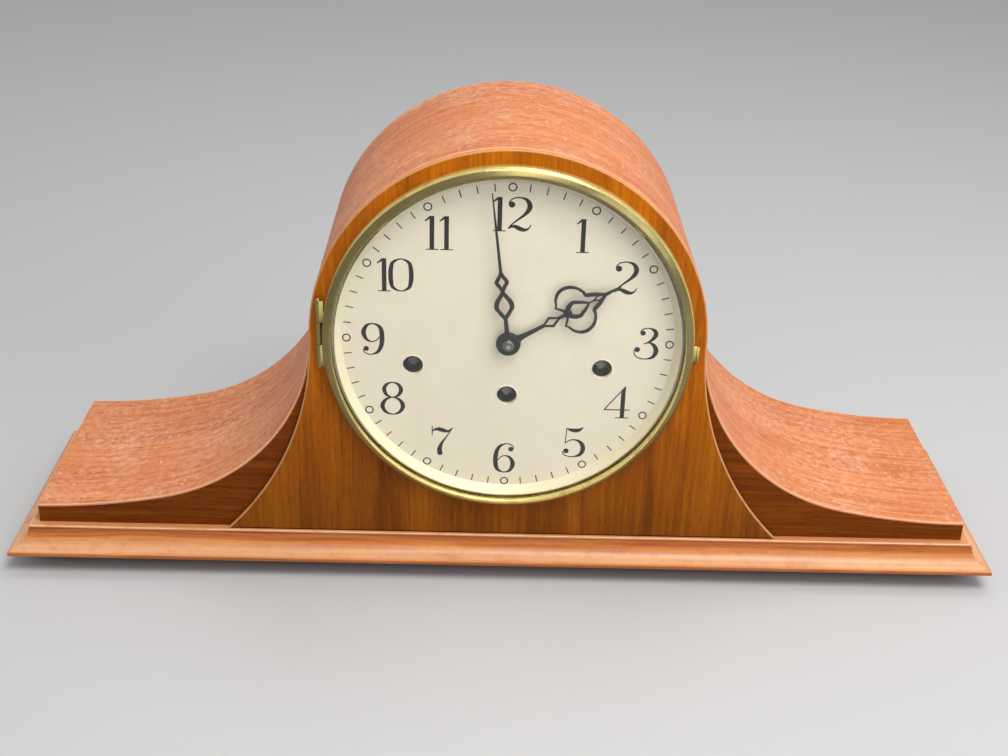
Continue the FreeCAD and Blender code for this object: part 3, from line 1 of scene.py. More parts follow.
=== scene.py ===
import math
import bmesh
import bpy
import numpy as np
from mathutils import Matrix, Vector
from mathutils.geometry import tessellate_polygon


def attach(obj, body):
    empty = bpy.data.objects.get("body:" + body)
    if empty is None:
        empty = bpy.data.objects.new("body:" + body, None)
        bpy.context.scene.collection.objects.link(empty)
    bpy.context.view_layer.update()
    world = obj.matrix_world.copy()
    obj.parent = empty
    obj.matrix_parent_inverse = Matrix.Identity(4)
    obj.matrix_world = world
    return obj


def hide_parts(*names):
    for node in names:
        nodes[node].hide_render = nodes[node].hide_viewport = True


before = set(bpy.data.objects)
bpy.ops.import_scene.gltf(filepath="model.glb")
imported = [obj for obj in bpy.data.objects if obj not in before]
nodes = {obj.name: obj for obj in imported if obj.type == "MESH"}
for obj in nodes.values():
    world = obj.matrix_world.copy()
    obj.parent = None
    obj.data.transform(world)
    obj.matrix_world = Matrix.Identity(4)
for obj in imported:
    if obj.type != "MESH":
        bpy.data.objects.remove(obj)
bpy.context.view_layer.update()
print("stage: the frame is in")

# places in millimetres, X along the case, Y to the back, Z up; the meshes are written in metres
frontY = -57.85       # face of the front board
backY = 63.65         # outside of the back board
centreZ = 139.0       # the hands' centre
wingX = 251.7         # end of the wing
archR = 101.5
baseTop = 23.8


def addObject(name, data):
    piece = bpy.data.objects.new(name, data)
    bpy.context.scene.collection.objects.link(piece)
    return piece


# the camera stands where the photographer stood, worked out from the dial and the case's straight edges
stageSizes = {"lens": 51.25, "place": (-0.012194, -0.721344, 0.449997),
              "right": (0.99965, -0.00284, 0.0262), "down": (0.02214, -0.44863, -0.89344),
              "forward": (0.01429, 0.89371, -0.44841)}


def makeCamera(sizes):
    data = bpy.data.cameras.new("photoCamera")
    data.lens = sizes["lens"]
    data.sensor_width = 36.0
    data.clip_start = 0.01
    camera = addObject("photoCamera", data)
    right, down, forward = (Vector(sizes[k]).normalized() for k in ("right", "down", "forward"))
    turn = Matrix((right, -down, -forward)).transposed().to_4x4()
    camera.matrix_world = Matrix.Translation(sizes["place"]) @ turn
    bpy.context.scene.camera = camera


def areaLight(name, place, aim, size, power, colour):
    data = bpy.data.lights.new(name, "AREA")
    data.shape = "RECTANGLE"
    data.size, data.size_y = size
    data.energy = power
    data.color = colour
    turn = (Vector(aim) - Vector(place)).to_track_quat("-Z", "Y").to_matrix().to_4x4()
    addObject(name, data).matrix_world = Matrix.Translation(place) @ turn


makeCamera(stageSizes)
areaLight("keyLamp", (0.3, -0.55, 1.25), (0, 0, 0.1), (0.9, 0.6), 11.0, (1.0, 0.97, 0.92))
areaLight("fillLamp", (1.1, -0.9, 0.7), (0, 0, 0.1), (0.8, 0.8), 5.0, (0.96, 0.98, 1.0))
areaLight("backLamp", (0.3, 0.55, 1.5), (0, 0, 0.12), (0.8, 0.5), 3.5, (1.0, 0.98, 0.95))
bpy.context.scene.view_settings.view_transform = "Standard"

world = bpy.data.worlds.new("studio")
bpy.context.scene.world = world
world.use_nodes = True
world.node_tree.nodes["Background"].inputs["Color"].default_value = (0.80, 0.81, 0.83, 1)
world.node_tree.nodes["Background"].inputs["Strength"].default_value = 0.55


def srgb(red, green, blue):
    values = np.array([red, green, blue]) / 255
    return tuple(np.where(values <= 0.04045, values / 12.92, ((values + 0.055) / 1.055) ** 2.4)) + (1.0,)


def rowsOf(*columns):
    # columns of numbers, spread to one shape, as rows
    return np.stack(np.broadcast_arrays(*columns), -1).reshape(-1, len(columns))


def unit(rows):
    return rows / np.maximum(np.linalg.norm(rows, axis=1, keepdims=True), 1e-9)


def lengthAlong(path):
    return np.append(0, np.cumsum(np.linalg.norm(np.diff(path, axis=0), axis=1)))


def fixNormals(piece):
    shell = bmesh.new()
    shell.from_mesh(piece.data)
    bmesh.ops.recalc_face_normals(shell, faces=shell.faces)
    shell.to_mesh(piece.data)
    shell.free()
    return piece


def finishMesh(name, points, faces, uv=None, wearAndPaintedLight=None, flat=(), smoothAngle=40):
    # points in millimetres; uv and the wear values are per point, where wear holds rubbed wear together with
    # painted highlights and, below zero, painted shade; flat lists faces that keep a flat shade
    mesh = bpy.data.meshes.new(name)
    mesh.from_pydata(np.asarray(points, float) / 1000, [], faces)
    smooth = np.ones(len(mesh.polygons), bool)
    smooth[np.array(flat, int)] = False
    mesh.set_sharp_from_angle(angle=math.radians(smoothAngle))
    mesh.polygons.foreach_set("use_smooth", smooth)
    if uv is not None:
        corner = np.empty(len(mesh.loops), int)
        mesh.loops.foreach_get("vertex_index", corner)
        layer = mesh.uv_layers.new(name="UVMap")
        layer.data.foreach_set("uv", (uv[corner] / 1000).ravel())
    attribute = mesh.attributes.new("wearAndPaintedLight", "FLOAT", "POINT")
    wornAndHighlit = np.zeros(len(points)) if wearAndPaintedLight is None else np.ravel(wearAndPaintedLight).astype(float)
    attribute.data.foreach_set("value", wornAndHighlit)
    mesh.update()
    return addObject(name, mesh)


def gridFaces(rows, columns, closeRows=False, closeColumns=False, start=0):
    # the quads between the points of a grid that is counted row by row
    r = np.arange(rows if closeRows else rows - 1)[:, None]
    c = np.arange(columns if closeColumns else columns - 1)[None, :]
    rNext, cNext = (r + 1) % rows, (c + 1) % columns
    quads = np.stack([r * columns + c, rNext * columns + c, rNext * columns + cNext, r * columns + cNext], -1)
    return (quads.reshape(-1, 4) + start).tolist()


def endFaces(rows, columns):
    # what closes such a grid at its first and last row
    last = columns * (rows - 1)
    return [list(range(columns)), list(range(last + columns - 1, last - 1, -1))]


def lathe(name, profile, centre=(0, centreZ), turns=192, wearAndPaintedLight=None):
    # radius and forward height of the profile, turned about an axis that points out of the dial
    angle = np.linspace(0, 2 * np.pi, turns, endpoint=False)
    radius, forward = profile[:, :1], profile[:, 1:]
    points = rowsOf(centre[0] + radius * np.sin(angle), frontY - forward, centre[1] + radius * np.cos(angle))
    faces = gridFaces(len(profile), turns, closeRows=True, closeColumns=True)
    return finishMesh(name, points, faces, rowsOf(radius * angle, forward), wearAndPaintedLight, smoothAngle=32)


def turned(name, profile, origin, direction, turns=64):
    # (radius, height) rows of a closed section, spun about an axis along +X, +Y or +Z through the origin
    profile = np.asarray(profile, float)
    angle = np.linspace(0, 2 * np.pi, turns, endpoint=False)
    radius, height = np.maximum(profile[:, :1], 0.001), profile[:, 1:]
    rows = rowsOf(radius * np.cos(angle), radius * np.sin(angle), height)
    order = {"z": (0, 1, 2), "x": (2, 0, 1), "y": (1, 2, 0)}[direction]
    faces = gridFaces(len(profile), turns, closeRows=True, closeColumns=True)
    uv = rowsOf(radius * angle, height)
    return fixNormals(finishMesh(name, rows[:, order] + origin, faces, uv, smoothAngle=35))


def swept(name, path, section, up, wearAndPaintedLight=None):
    # a closed section (sideways, along up) carried along a path, square to it, with flat ends
    run = unit(np.gradient(path, axis=0))
    side = unit(np.cross(run, up))
    lift = np.cross(side, run)
    points = path[:, None] + side[:, None] * section[:, :1] + lift[:, None] * section[:, 1:]
    uv = rowsOf(lengthAlong(path)[:, None], np.linspace(0, 5, len(section)))
    faces = gridFaces(len(path), len(section), closeColumns=True) + endFaces(len(path), len(section))
    return fixNormals(finishMesh(name, points.reshape(-1, 3), faces, uv, wearAndPaintedLight))


def merged(name, pieces):
    # several meshes made one piece
    shell = bmesh.new()
    for piece in pieces:
        shell.from_mesh(piece.data)
    mesh = bpy.data.meshes.new(name)
    shell.to_mesh(mesh)
    shell.free()
    for piece in pieces:
        bpy.data.objects.remove(piece)
    return addObject(name, mesh)


def roundedLoop(corners, radii, steps):
    # a closed outline whose corners are replaced by short arcs, drawn as quadratic curves
    corners = np.asarray(corners, float)
    before, after = np.roll(corners, 1, 0) - corners, np.roll(corners, -1, 0) - corners
    lengthBefore = np.linalg.norm(before, axis=1, keepdims=True)
    lengthAfter = np.linalg.norm(after, axis=1, keepdims=True)
    reach = np.minimum(np.asarray(radii, float)[:, None], 0.45 * np.minimum(lengthBefore, lengthAfter))
    a = (corners + before / lengthBefore * reach)[:, None]
    b = (corners + after / lengthAfter * reach)[:, None]
    t = np.linspace(0, 1, steps)[None, :, None]
    return ((1 - t) ** 2 * a + 2 * t * (1 - t) * corners[:, None] + t ** 2 * b).reshape(-1, 2)


def loopNormals(loop):
    # normals that point to the right of the loop's direction, which is out of a counter-clockwise loop;
    # they are longer at corners, so that an inset keeps its width
    edge = unit(np.roll(loop, -1, 0) - loop)
    normal = np.stack([edge[:, 1], -edge[:, 0]], 1)
    middle = unit(normal + np.roll(normal, 1, 0))
    return middle / np.maximum((middle * normal).sum(1, keepdims=True), 0.5)


def area(loop):
    x, y = loop[:, 0], loop[:, 1]
    return 0.5 * np.sum(x * np.roll(y, -1) - np.roll(x, -1) * y)


def plate(name, loops, thickness, arris, place, arrisSteps=3):
    # a flat board: its outline and holes carried round a rounded edge profile, closed by flat faces
    # place turns (across, up, forward) rows of points into the row frame
    t = np.linspace(0, np.pi / 2, arrisSteps + 1)
    edge = list(zip(arris * (1 - np.sin(t)), arris * (1 - np.cos(t))))
    rows = np.array(edge + [(inset, thickness - level) for inset, level in reversed(edge)])
    rubbed = (rows[:, 1] > thickness - arris * 1.5) & (rows[:, 0] < arris * 0.98)
    points, faces, flat, wearAndPaintedLight, backIds, frontIds, flatLoops = [], [], [], [], [], [], []
    start = 0
    for index, loop in enumerate(loops):
        outer = index == 0
        if (area(loop) > 0) != outer:
            loop = loop[::-1]
        count = len(loop)
        grid = loop - loopNormals(loop) * rows[:, 0][:, None, None]
        points.append(rowsOf(grid[..., 0], grid[..., 1], rows[:, 1:]))
        wearAndPaintedLight.append(np.repeat(rubbed, count))
        faces += [side[::-1] for side in gridFaces(len(rows), count, closeColumns=True, start=start)]
        backIds += range(start, start + count)
        start += len(rows) * count
        frontIds += range(start - count, start)
        flatLoops.append([Vector((x, y, 0)) for x, y, _ in points[-1][-count:]])
    capPoints = [point for loop in flatLoops for point in loop]
    for triangle in tessellate_polygon(flatLoops):
        a, b, c = (capPoints[i] for i in triangle)
        up = (b[0] - a[0]) * (c[1] - a[1]) - (b[1] - a[1]) * (c[0] - a[0])
        order = triangle if up > 0 else triangle[::-1]
        flat += [len(faces), len(faces) + 1]
        faces += [[frontIds[i] for i in order], [backIds[i] for i in reversed(order)]]
    flatPoints = np.concatenate(points)
    return finishMesh(name, place(flatPoints), faces, flatPoints[:, :2], np.concatenate(wearAndPaintedLight), flat)


def smoothPath(points, steps=8):
    # a Catmull-Rom curve through the rows of numbers
    p = np.asarray(points, float)
    p = np.concatenate([2 * p[:1] - p[1:2], p, 2 * p[-1:] - p[-2:-1]])
    t = np.linspace(0, 1, steps, endpoint=False)[None, :, None]
    a, b, c, d = p[:-3, None], p[1:-2, None], p[2:-1, None], p[3:, None]
    curve = 2 * b + (c - a) * t + (2 * a - 5 * b + 4 * c - d) * t ** 2 + (3 * b - a - 3 * c + d) * t ** 3
    return np.concatenate([0.5 * curve.reshape(-1, p.shape[1]), p[-2:-1]])


def ribbon(path, thick, bevel):
    # a flat bar that follows rows of (across, along, half width), with bevelled front edges
    closed = np.allclose(path[0], path[-1])
    if closed:
        path = path[:-1]
        run = np.roll(path[:, :2], -1, 0) - np.roll(path[:, :2], 1, 0)
    else:
        run = np.gradient(path[:, :2], axis=0)
    run = unit(run)
    side = np.stack([run[:, 1], -run[:, 0]], 1)
    half = path[:, 2]
    inner = np.maximum(half - bevel, half * 0.3)
    reach = np.stack([half, half, inner, -inner, -half, -half], 1)
    level = np.array([0, thick - bevel, thick, thick, thick - bevel, 0])
    spread = path[:, None, :2] + side[:, None] * reach[..., None]
    faces = gridFaces(len(path), 6, closeRows=closed, closeColumns=True)
    if not closed:
        faces += endFaces(len(path), 6)
    return rowsOf(spread[..., 0], spread[..., 1], level), faces


def flatWork(name, strokes, thick, bevel, place):
    # several flat bars as one mesh, each a hair lower than the one before so that no two faces coincide
    points, faces, start = [], [], 0
    for index, path in enumerate(strokes):
        own, quads = ribbon(path, thick - 0.006 * (index % 6), bevel)
        points.append(own)
        faces += [[k + start for k in quad] for quad in quads]
        start += len(own)
    points = np.concatenate(points)
    return fixNormals(finishMesh(name, place(points), faces, points[:, :2]))


def disc(x, y, radius):
    # a round spot as a ribbon whose half width follows the circle
    t = np.linspace(0.04 * np.pi, 0.96 * np.pi, 17)
    return rowsOf(x - radius * np.cos(t), y, radius * np.sin(t))


def ringPath(x, y, radius, half, count=48):
    t = np.linspace(0, 2 * np.pi, count + 1)
    return rowsOf(x + radius * np.sin(t), y + radius * np.cos(t), half)


def facing(depth=0.0, clockwise=0.0):
    # (across, up, forward) from the hands' centre, seen from the front, forward of the front board by depth
    c, s = math.cos(math.radians(clockwise)), math.sin(math.radians(clockwise))
    return lambda p: rowsOf(p[:, 0] * c + p[:, 1] * s, frontY - depth - p[:, 2],
                            centreZ + p[:, 1] * c - p[:, 0] * s)


def facingBack(y):
    # (across as seen from behind, up, towards the back) from the hands' centre
    return lambda p: rowsOf(-p[:, 0], y + p[:, 2], centreZ + p[:, 1])


def lying(z, x=0.0, y=0.0):
    # (to the right, to the back, up)
    return lambda p: p + (x, y, z)


def rectangle(x0, y0, x1, y1, radius, steps=5):
    return roundedLoop([(x0, y0), (x1, y0), (x1, y1), (x0, y1)], [radius] * 4, steps)


def sleeve(bore, radius, low, high, rim, steps=5, bare=0.1):
    # a tube's section with rounded outer rims
    corners = [(bore, low), (radius, low), (radius, high), (bore, high)]
    return roundedLoop(corners, [bare, rim, rim, bare], steps)


def circleLoop(radius, count, x=0.0, y=0.0):
    t = np.linspace(0, 2 * np.pi, count, endpoint=False)
    return rowsOf(x + radius * np.cos(t), y + radius * np.sin(t))


def arcPoints(cx, cz, radius, start, end, count):
    t = np.radians(np.linspace(start, end, count))
    return rowsOf(cx + radius * np.cos(t), cz + radius * np.sin(t))


print("stage: camera and tools")


class Graph:
    # a node tree and short ways to add to it; a value is a number, a colour or another node's socket
    def __init__(self, tree):
        self.tree = tree

    def feed(self, socket, value):
        if isinstance(value, bpy.types.NodeSocket):
            self.tree.links.new(value, socket)
        else:
            socket.default_value = value

    def add(self, kind, settings=None, **inputs):
        # inputs go by their names, or by their numbers as i0, i1 and so on
        node = self.tree.nodes.new("ShaderNode" + kind)
        for key, value in (settings or {}).items():
            setattr(node, key, value)
        for key, value in inputs.items():
            self.feed(node.inputs[int(key[1:]) if key[0] == "i" else key], value)
        return node

    def use(self, group, **inputs):
        return self.add("Group", {"node_tree": group}, **inputs).outputs

    def mix(self, factor, a, b, blend="MIX"):
        return self.add("Mix", {"data_type": "RGBA", "blend_type": blend}, i0=factor, i6=a, i7=b).outputs[2]

    def shade(self, colour, other):
        return self.mix(1.0, colour, other, "MULTIPLY")

    def compute(self, operation, a, b, clamp=False):
        return self.add("Math", {"operation": operation, "use_clamp": clamp}, i0=a, i1=b).outputs[0]

    def times(self, a, b, clamp=False):
        return self.compute("MULTIPLY", a, b, clamp)

    def plus(self, a, b):
        return self.compute("ADD", a, b)

    def minus(self, a, b):
        return self.compute("SUBTRACT", a, b)

    def ramp(self, value, *stops):
        # greys between the stops, which are (position, level)
        node = self.add("ValToRGB", {}, i0=value)
        elements = node.color_ramp.elements
        while len(elements) < len(stops):
            elements.new(0.5)
        for element, (position, level) in zip(elements, stops):
            element.position = position
            element.color = (level, level, level, 1)
        return node.outputs[0]

    def noise(self, vector, scale, detail=2.0, rough=0.5):
        # the scale is one number, or one for each of the vector's directions
        if isinstance(scale, tuple):
            vector, scale = self.add("Mapping", {}, Vector=vector, Scale=scale).outputs[0], 1.0
        node = self.add("TexNoise", {}, Vector=vector, Scale=scale, Detail=detail, Roughness=rough)
        return node.outputs["Fac"]


class Effect(Graph):
    # a shared shader group, its inputs and outputs as names with their kinds
    def __init__(self, name, inputs, outputs):
        super().__init__(bpy.data.node_groups.new(name, "ShaderNodeTree"))
        for way, sockets in (("INPUT", inputs), ("OUTPUT", outputs)):
            for label, kind in sockets.items():
                self.tree.interface.new_socket(label, in_out=way, socket_type="NodeSocket" + kind)
        self.given = self.tree.nodes.new("NodeGroupInput").outputs
        self.sink = self.tree.nodes.new("NodeGroupOutput").inputs

    def result(self, **values):
        for key, value in values.items():
            self.feed(self.sink[key], value)
        return self.tree


surfaceOutputs = {"Color": "Color", "Roughness": "Float", "Height": "Float"}


def makeWoodGroup():
    # colour, gloss and height of lacquered veneer; the grain runs along the vector's X
    g = Effect("veneer", {"Vector": "Vector", "Dark": "Color", "Middle": "Color", "Light": "Color",
                          "Figure": "Float", "Pores": "Float"}, surfaceOutputs)
    vector, figure = g.given["Vector"], g.given["Figure"]
    bend = g.times(g.noise(vector, (6, 14, 14)), 0.012)
    offset = g.add("CombineXYZ", {}, Y=bend, Z=bend).outputs[0]
    bent = g.add("VectorMath", {"operation": "ADD"}, i0=vector, i1=offset).outputs[0]
    broad = g.noise(bent, (2.5, 34, 34), 3.0, 0.55)
    fine = g.noise(bent, (9, 420, 420), 3.0, 0.6)
    stripe = g.noise(vector, (28, 60, 60))
    tone = g.plus(g.times(broad, figure), g.times(fine, g.minus(1.0, figure)))
    tone = g.plus(tone, g.times(g.minus(stripe, 0.5), 0.1))
    share = g.ramp(tone, (0.34, 0.0), (0.66, 1.0))
    low = g.mix(g.ramp(share, (0.0, 0.0), (0.5, 1.0)), g.given["Dark"], g.given["Middle"])
    colour = g.mix(g.ramp(share, (0.5, 0.0), (1.0, 1.0)), low, g.given["Light"])
    pore = g.ramp(g.noise(bent, (130, 1900, 1900), 1.0), (0.33, 1.0), (0.43, 0.0))
    pores = g.times(pore, g.given["Pores"])
    colour = g.mix(pores, colour, g.shade(colour, (0.42, 0.36, 0.34, 1)))
    haze = g.noise(vector, (10, 14, 14), 3.0, 0.6)
    return g.result(Color=colour, Roughness=g.plus(g.times(haze, 0.16), g.times(pores, 0.2)),
                    Height=g.minus(g.times(fine, 0.35), pores))


def makeDustGroup():
    # fine pale dust specks, and a thin uneven pale film on what faces up that is partly dust and partly a
    # painted sheen
    g = Effect("dustAndSheen", {"Vector": "Vector", "Color": "Color", "Film": "Color", "Specks": "Float",
                        "Haze": "Float"},
               {"Color": "Color", "Mask": "Float"})
    vector = g.given["Vector"]
    normal = g.add("NewGeometry").outputs["Normal"]
    lying = g.ramp(g.add("SeparateXYZ", {}, i0=normal).outputs["Z"], (0.1, 0.0), (0.75, 1.0))
    cells = g.add("TexVoronoi", {"feature": "F1"}, Vector=vector, Scale=270.0, Randomness=1.0).outputs
    dot = g.ramp(cells["Distance"], (0.12, 1.0), (0.26, 0.0))
    chosen = g.ramp(g.add("SeparateColor", {}, i0=cells["Color"]).outputs[0], (0.3, 0.0), (0.75, 1.0))
    patch = g.ramp(g.noise(vector, 38.0, 3.0, 0.6), (0.34, 0.25), (0.62, 1.0))
    specks = g.times(g.times(dot, chosen), g.times(patch, g.given["Specks"]))
    film = g.ramp(g.noise(vector, 17.0, 4.0, 0.62), (0.36, 0.2), (0.66, 1.0))
    mottle = g.ramp(g.noise(vector, 260.0, 4.0, 0.75), (0.4, 0.0), (0.64, 1.0))
    # the haze is partly a dust film and partly a painted sheen
    haze = g.times(g.times(film, mottle), g.given["Haze"])
    mask = g.times(g.compute("MAXIMUM", specks, haze), lying, True)
    return g.result(Color=g.mix(mask, g.given["Color"], g.given["Film"]), Mask=mask)


def makeWearGroup():
    # paler colour where the piece's own wear attribute is high, which is rubbed arrises on some pieces and
    # painted highlights on others; painted shade where it is below zero
    g = Effect("rubbedEdgesAndPaintedLight", {"Vector": "Vector", "Color": "Color", "Bare": "Color", "Amount": "Float"},
               {"Color": "Color"})
    edge = g.add("Attribute", {"attribute_name": "wearAndPaintedLight"}).outputs["Fac"]
    broken = g.ramp(g.noise(g.given["Vector"], 120.0, 3.0, 0.6), (0.3, 0.6), (0.5, 1.0))
    mask = g.times(g.times(edge, broken), g.given["Amount"], True)
    wornAndHighlit = g.mix(mask, g.given["Color"], g.given["Bare"])
    # painted shade: darker where the attribute is below zero
    paintedShade = g.times(edge, -1.0, True)
    return g.result(Color=g.mix(paintedShade, wornAndHighlit, g.shade(wornAndHighlit, (0.26, 0.15, 0.08, 1))))


def makeMetalGroup():
    # aged metal: cloudy tarnish, fine lines along the vector's X and small pits
    g = Effect("agedMetal", {"Vector": "Vector", "Bright": "Color", "Dull": "Color", "Tarnish": "Float",
                             "Lines": "Float"}, surfaceOutputs)
    vector = g.given["Vector"]
    cloud = g.ramp(g.noise(vector, 55.0, 4.0, 0.6), (0.36, 0.0), (0.68, 1.0))
    pits = g.ramp(g.noise(vector, 900.0), (0.27, 1.0), (0.36, 0.0))
    share = g.times(g.plus(cloud, g.times(pits, 0.5)), g.given["Tarnish"], True)
    lines = g.times(g.noise(vector, (40, 2600, 2600), 2.0, 0.6), g.given["Lines"])
    return g.result(Color=g.mix(share, g.given["Bright"], g.given["Dull"]),
                    Roughness=g.plus(g.times(share, 0.3), g.times(lines, 0.3)),
                    Height=g.minus(lines, g.times(pits, 0.4)))


woodGroup, dustAndSheenGroup = makeWoodGroup(), makeDustGroup()
wearAndLightGroup, metalGroup = makeWearGroup(), makeMetalGroup()


class Surface(Graph):
    # a material, its shader's inputs, and the places that its pattern goes by
    def __init__(self, name, coordinates="Object", turn=None):
        self.material = bpy.data.materials.new(name)
        self.material.use_nodes = True
        super().__init__(self.material.node_tree)
        self.shader = self.tree.nodes["Principled BSDF"]
        self.place = self.add("TexCoord").outputs[coordinates]
        if turn:
            self.place = self.add("Mapping", {}, Vector=self.place, Rotation=turn).outputs[0]

    def set(self, values):
        for key, value in values.items():
            self.feed(self.shader.inputs[key], value)

    def bump(self, height, strength, distance):
        if strength:
            bump = self.add("Bump", {}, Strength=strength, Distance=distance, Height=height)
            self.set({"Normal": bump.outputs[0]})


def woodMaterial(name, tones, coordinates="Object", turn=None, figure=0.5, pores=0.5, gloss=0.32, coat=0.25,
                 film=None, specks=0.0, haze=0.0, bare=None, wearAndPaintedLight=0.8, bump=0.25, shine=0.5, foot=()):
    s = Surface(name, coordinates, turn)
    dark, middle, light = (srgb(*tone) for tone in tones)
    wood = s.use(woodGroup, Vector=s.place, Dark=dark, Middle=middle, Light=light, Figure=figure, Pores=pores)
    colour, roughness = wood["Color"], s.plus(wood["Roughness"], gloss)
    there = s.add("TexCoord").outputs["Object"]
    if foot:
        # painted shade: the colour is darker towards the foot, given as shares of the colour at rising
        # heights in metres
        perMetre = 4.0
        height = s.times(s.add("SeparateXYZ", {}, i0=there).outputs["Z"], perMetre)
        colour = s.shade(colour, s.ramp(height, *[(z * perMetre, share) for z, share in foot]))
    if film:
        dustAndSheen = s.use(dustAndSheenGroup, Vector=there, Color=colour, Film=srgb(*film), Specks=specks, Haze=haze)
        colour, roughness = dustAndSheen["Color"], s.plus(roughness, s.times(dustAndSheen["Mask"], 0.25))
    if bare:
        colour = s.use(wearAndLightGroup, Vector=there, Color=colour, Bare=srgb(*bare), Amount=wearAndPaintedLight)["Color"]
    s.set({"Base Color": colour, "Roughness": roughness, "Coat Weight": coat, "Coat Roughness": 0.22,
           "Specular IOR Level": shine})
    s.bump(wood["Height"], bump, 0.0002)
    return s.material


def metalMaterial(name, bright, dull, tarnish=0.4, lines=0.3, gloss=0.2, metallic=1.0, bump=0.1, bare=None,
                  shine=0.5):
    s = Surface(name)
    metal = s.use(metalGroup, Vector=s.place, Bright=srgb(*bright), Dull=srgb(*dull), Tarnish=tarnish,
                  Lines=lines)
    colour = metal["Color"]
    if bare:
        colour = s.use(wearAndLightGroup, Vector=s.place, Color=colour, Bare=srgb(*bare), Amount=1.0)["Color"]
    s.set({"Base Color": colour, "Roughness": s.plus(metal["Roughness"], gloss), "Metallic": metallic,
           "Specular IOR Level": shine})
    s.bump(metal["Height"], bump, 0.00005)
    return s.material


def makeGlass():
    # clear glass that casts no shadow
    s = Surface("crystalGlass")
    s.set({"Base Color": (1, 1, 1, 1), "Roughness": 0.0, "Transmission Weight": 1.0, "IOR": 1.45})
    shadow = s.add("LightPath").outputs["Is Shadow Ray"]
    clear = s.add("BsdfTransparent").outputs[0]
    mix = s.add("MixShader", {}, i0=shadow, i1=s.shader.outputs[0], i2=clear)
    s.feed(s.tree.nodes["Material Output"].inputs["Surface"], mix.outputs[0])
    return s.material


# tones and other colours as a screen shows them, red, green and blue up to 255
woods = {
    # topVeneer's bare colour is both rubbed arrises and a painted highlight along them; its film is partly
    # dust and partly a painted sheen
    "topVeneer": dict(tones=((196, 102, 52), (218, 126, 70), (236, 148, 92)), coordinates="UV", figure=0.3,
                      pores=0.3, gloss=0.4, coat=0.06, film=(252, 208, 176), specks=1.0, haze=0.6,
                      bare=(250, 194, 154), wearAndPaintedLight=0.85, bump=0.05, shine=0.25),
    "wingVeneer": dict(tones=((100, 44, 2), (118, 56, 3), (136, 68, 6)), figure=0.25, gloss=0.34, coat=0.03,
                       bare=(232, 176, 138), shine=0.07, bump=0.12),
    # panelVeneer's foot is painted shade, darker towards the bottom of the panel
    "panelVeneer": dict(tones=((142, 74, 2), (186, 100, 4), (222, 128, 8)), turn=(0, math.pi / 2, 0),
                        figure=0.55, pores=0.4, gloss=0.3, coat=0.04, bare=(232, 176, 122), wearAndPaintedLight=0.7,
                        shine=0.1, bump=0.12, foot=((0.024, 0.45), (0.07, 0.65), (0.125, 1.0))),
    # mouldingWood's bare colour is both the rubbed ledge edge and the painted highlight in the cove
    "mouldingWood": dict(tones=((180, 92, 32), (210, 120, 52), (226, 146, 76)), coordinates="UV", figure=0.25,
                         pores=0.3, gloss=0.24, coat=0.35, film=(248, 208, 176), specks=0.2, haze=0.05,
                         bare=(254, 208, 162), wearAndPaintedLight=0.9, bump=0.08, shine=0.3),
    "hiddenWood": dict(tones=((120, 84, 52), (164, 122, 80), (190, 150, 106)), figure=0.4, pores=0.3,
                       gloss=0.5, coat=0.0),
    "backWood": dict(tones=((66, 30, 14), (104, 54, 28), (132, 76, 42)), figure=0.35, pores=0.4, gloss=0.4,
                     coat=0.1, bare=(170, 110, 70), wearAndPaintedLight=0.5)}
metals = {
    # bezelBrass's bare colour is the colour of its painted highlights
    "bezelBrass": dict(bright=(146, 132, 82), dull=(112, 102, 62), tarnish=0.5, gloss=0.14, metallic=0.72,
                       bare=(255, 240, 150)),
    "hingeBrass": dict(bright=(206, 176, 98), dull=(130, 104, 50), tarnish=0.5),
    "movementBrass": dict(bright=(214, 178, 96), dull=(150, 112, 52), tarnish=0.45, lines=0.5, gloss=0.24),
    "rodBronze": dict(bright=(196, 150, 92), dull=(128, 88, 50), tarnish=0.6, lines=0.4, gloss=0.26),
    "arborSteel": dict(bright=(126, 128, 122), dull=(70, 70, 66), tarnish=0.6, lines=0.4, gloss=0.3),
    "steel": dict(bright=(190, 192, 194), dull=(120, 118, 114), tarnish=0.3, lines=0.4, gloss=0.24),
    "iron": dict(bright=(84, 84, 86), dull=(58, 54, 50), tarnish=0.5, lines=0.2, gloss=0.4, metallic=0.7,
                 bump=0.3),
    "handBlack": dict(bright=(14, 11, 12), dull=(30, 26, 26), lines=0.2, gloss=0.3, metallic=0.0, bump=0.2,
                      shine=0.3),
    "felt": dict(bright=(40, 66, 46), dull=(30, 48, 36), tarnish=0.6, gloss=0.6, metallic=0.0, bump=0.6),
    "dialSilver": dict(bright=(240, 231, 208), dull=(230, 219, 192), tarnish=0.3, lines=0.0, gloss=0.34,
                       metallic=0.25, bump=0.0),
    "sightCream": dict(bright=(228, 221, 188), dull=(218, 208, 170), lines=0.1, gloss=0.3, metallic=0.1),
    "ink": dict(bright=(16, 10, 13), dull=(34, 26, 30), lines=0.2, gloss=0.45, metallic=0.0, shine=0.15)}
materials = {name: woodMaterial(name, **look) for name, look in woods.items()}
materials.update({name: metalMaterial(name, **look) for name, look in metals.items()})
materials["glass"] = makeGlass()
print("stage: materials")


def dress(piece, material, body, replaced):
    piece.data.materials.append(materials[material])
    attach(piece, body)
    if replaced:
        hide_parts(*replaced)


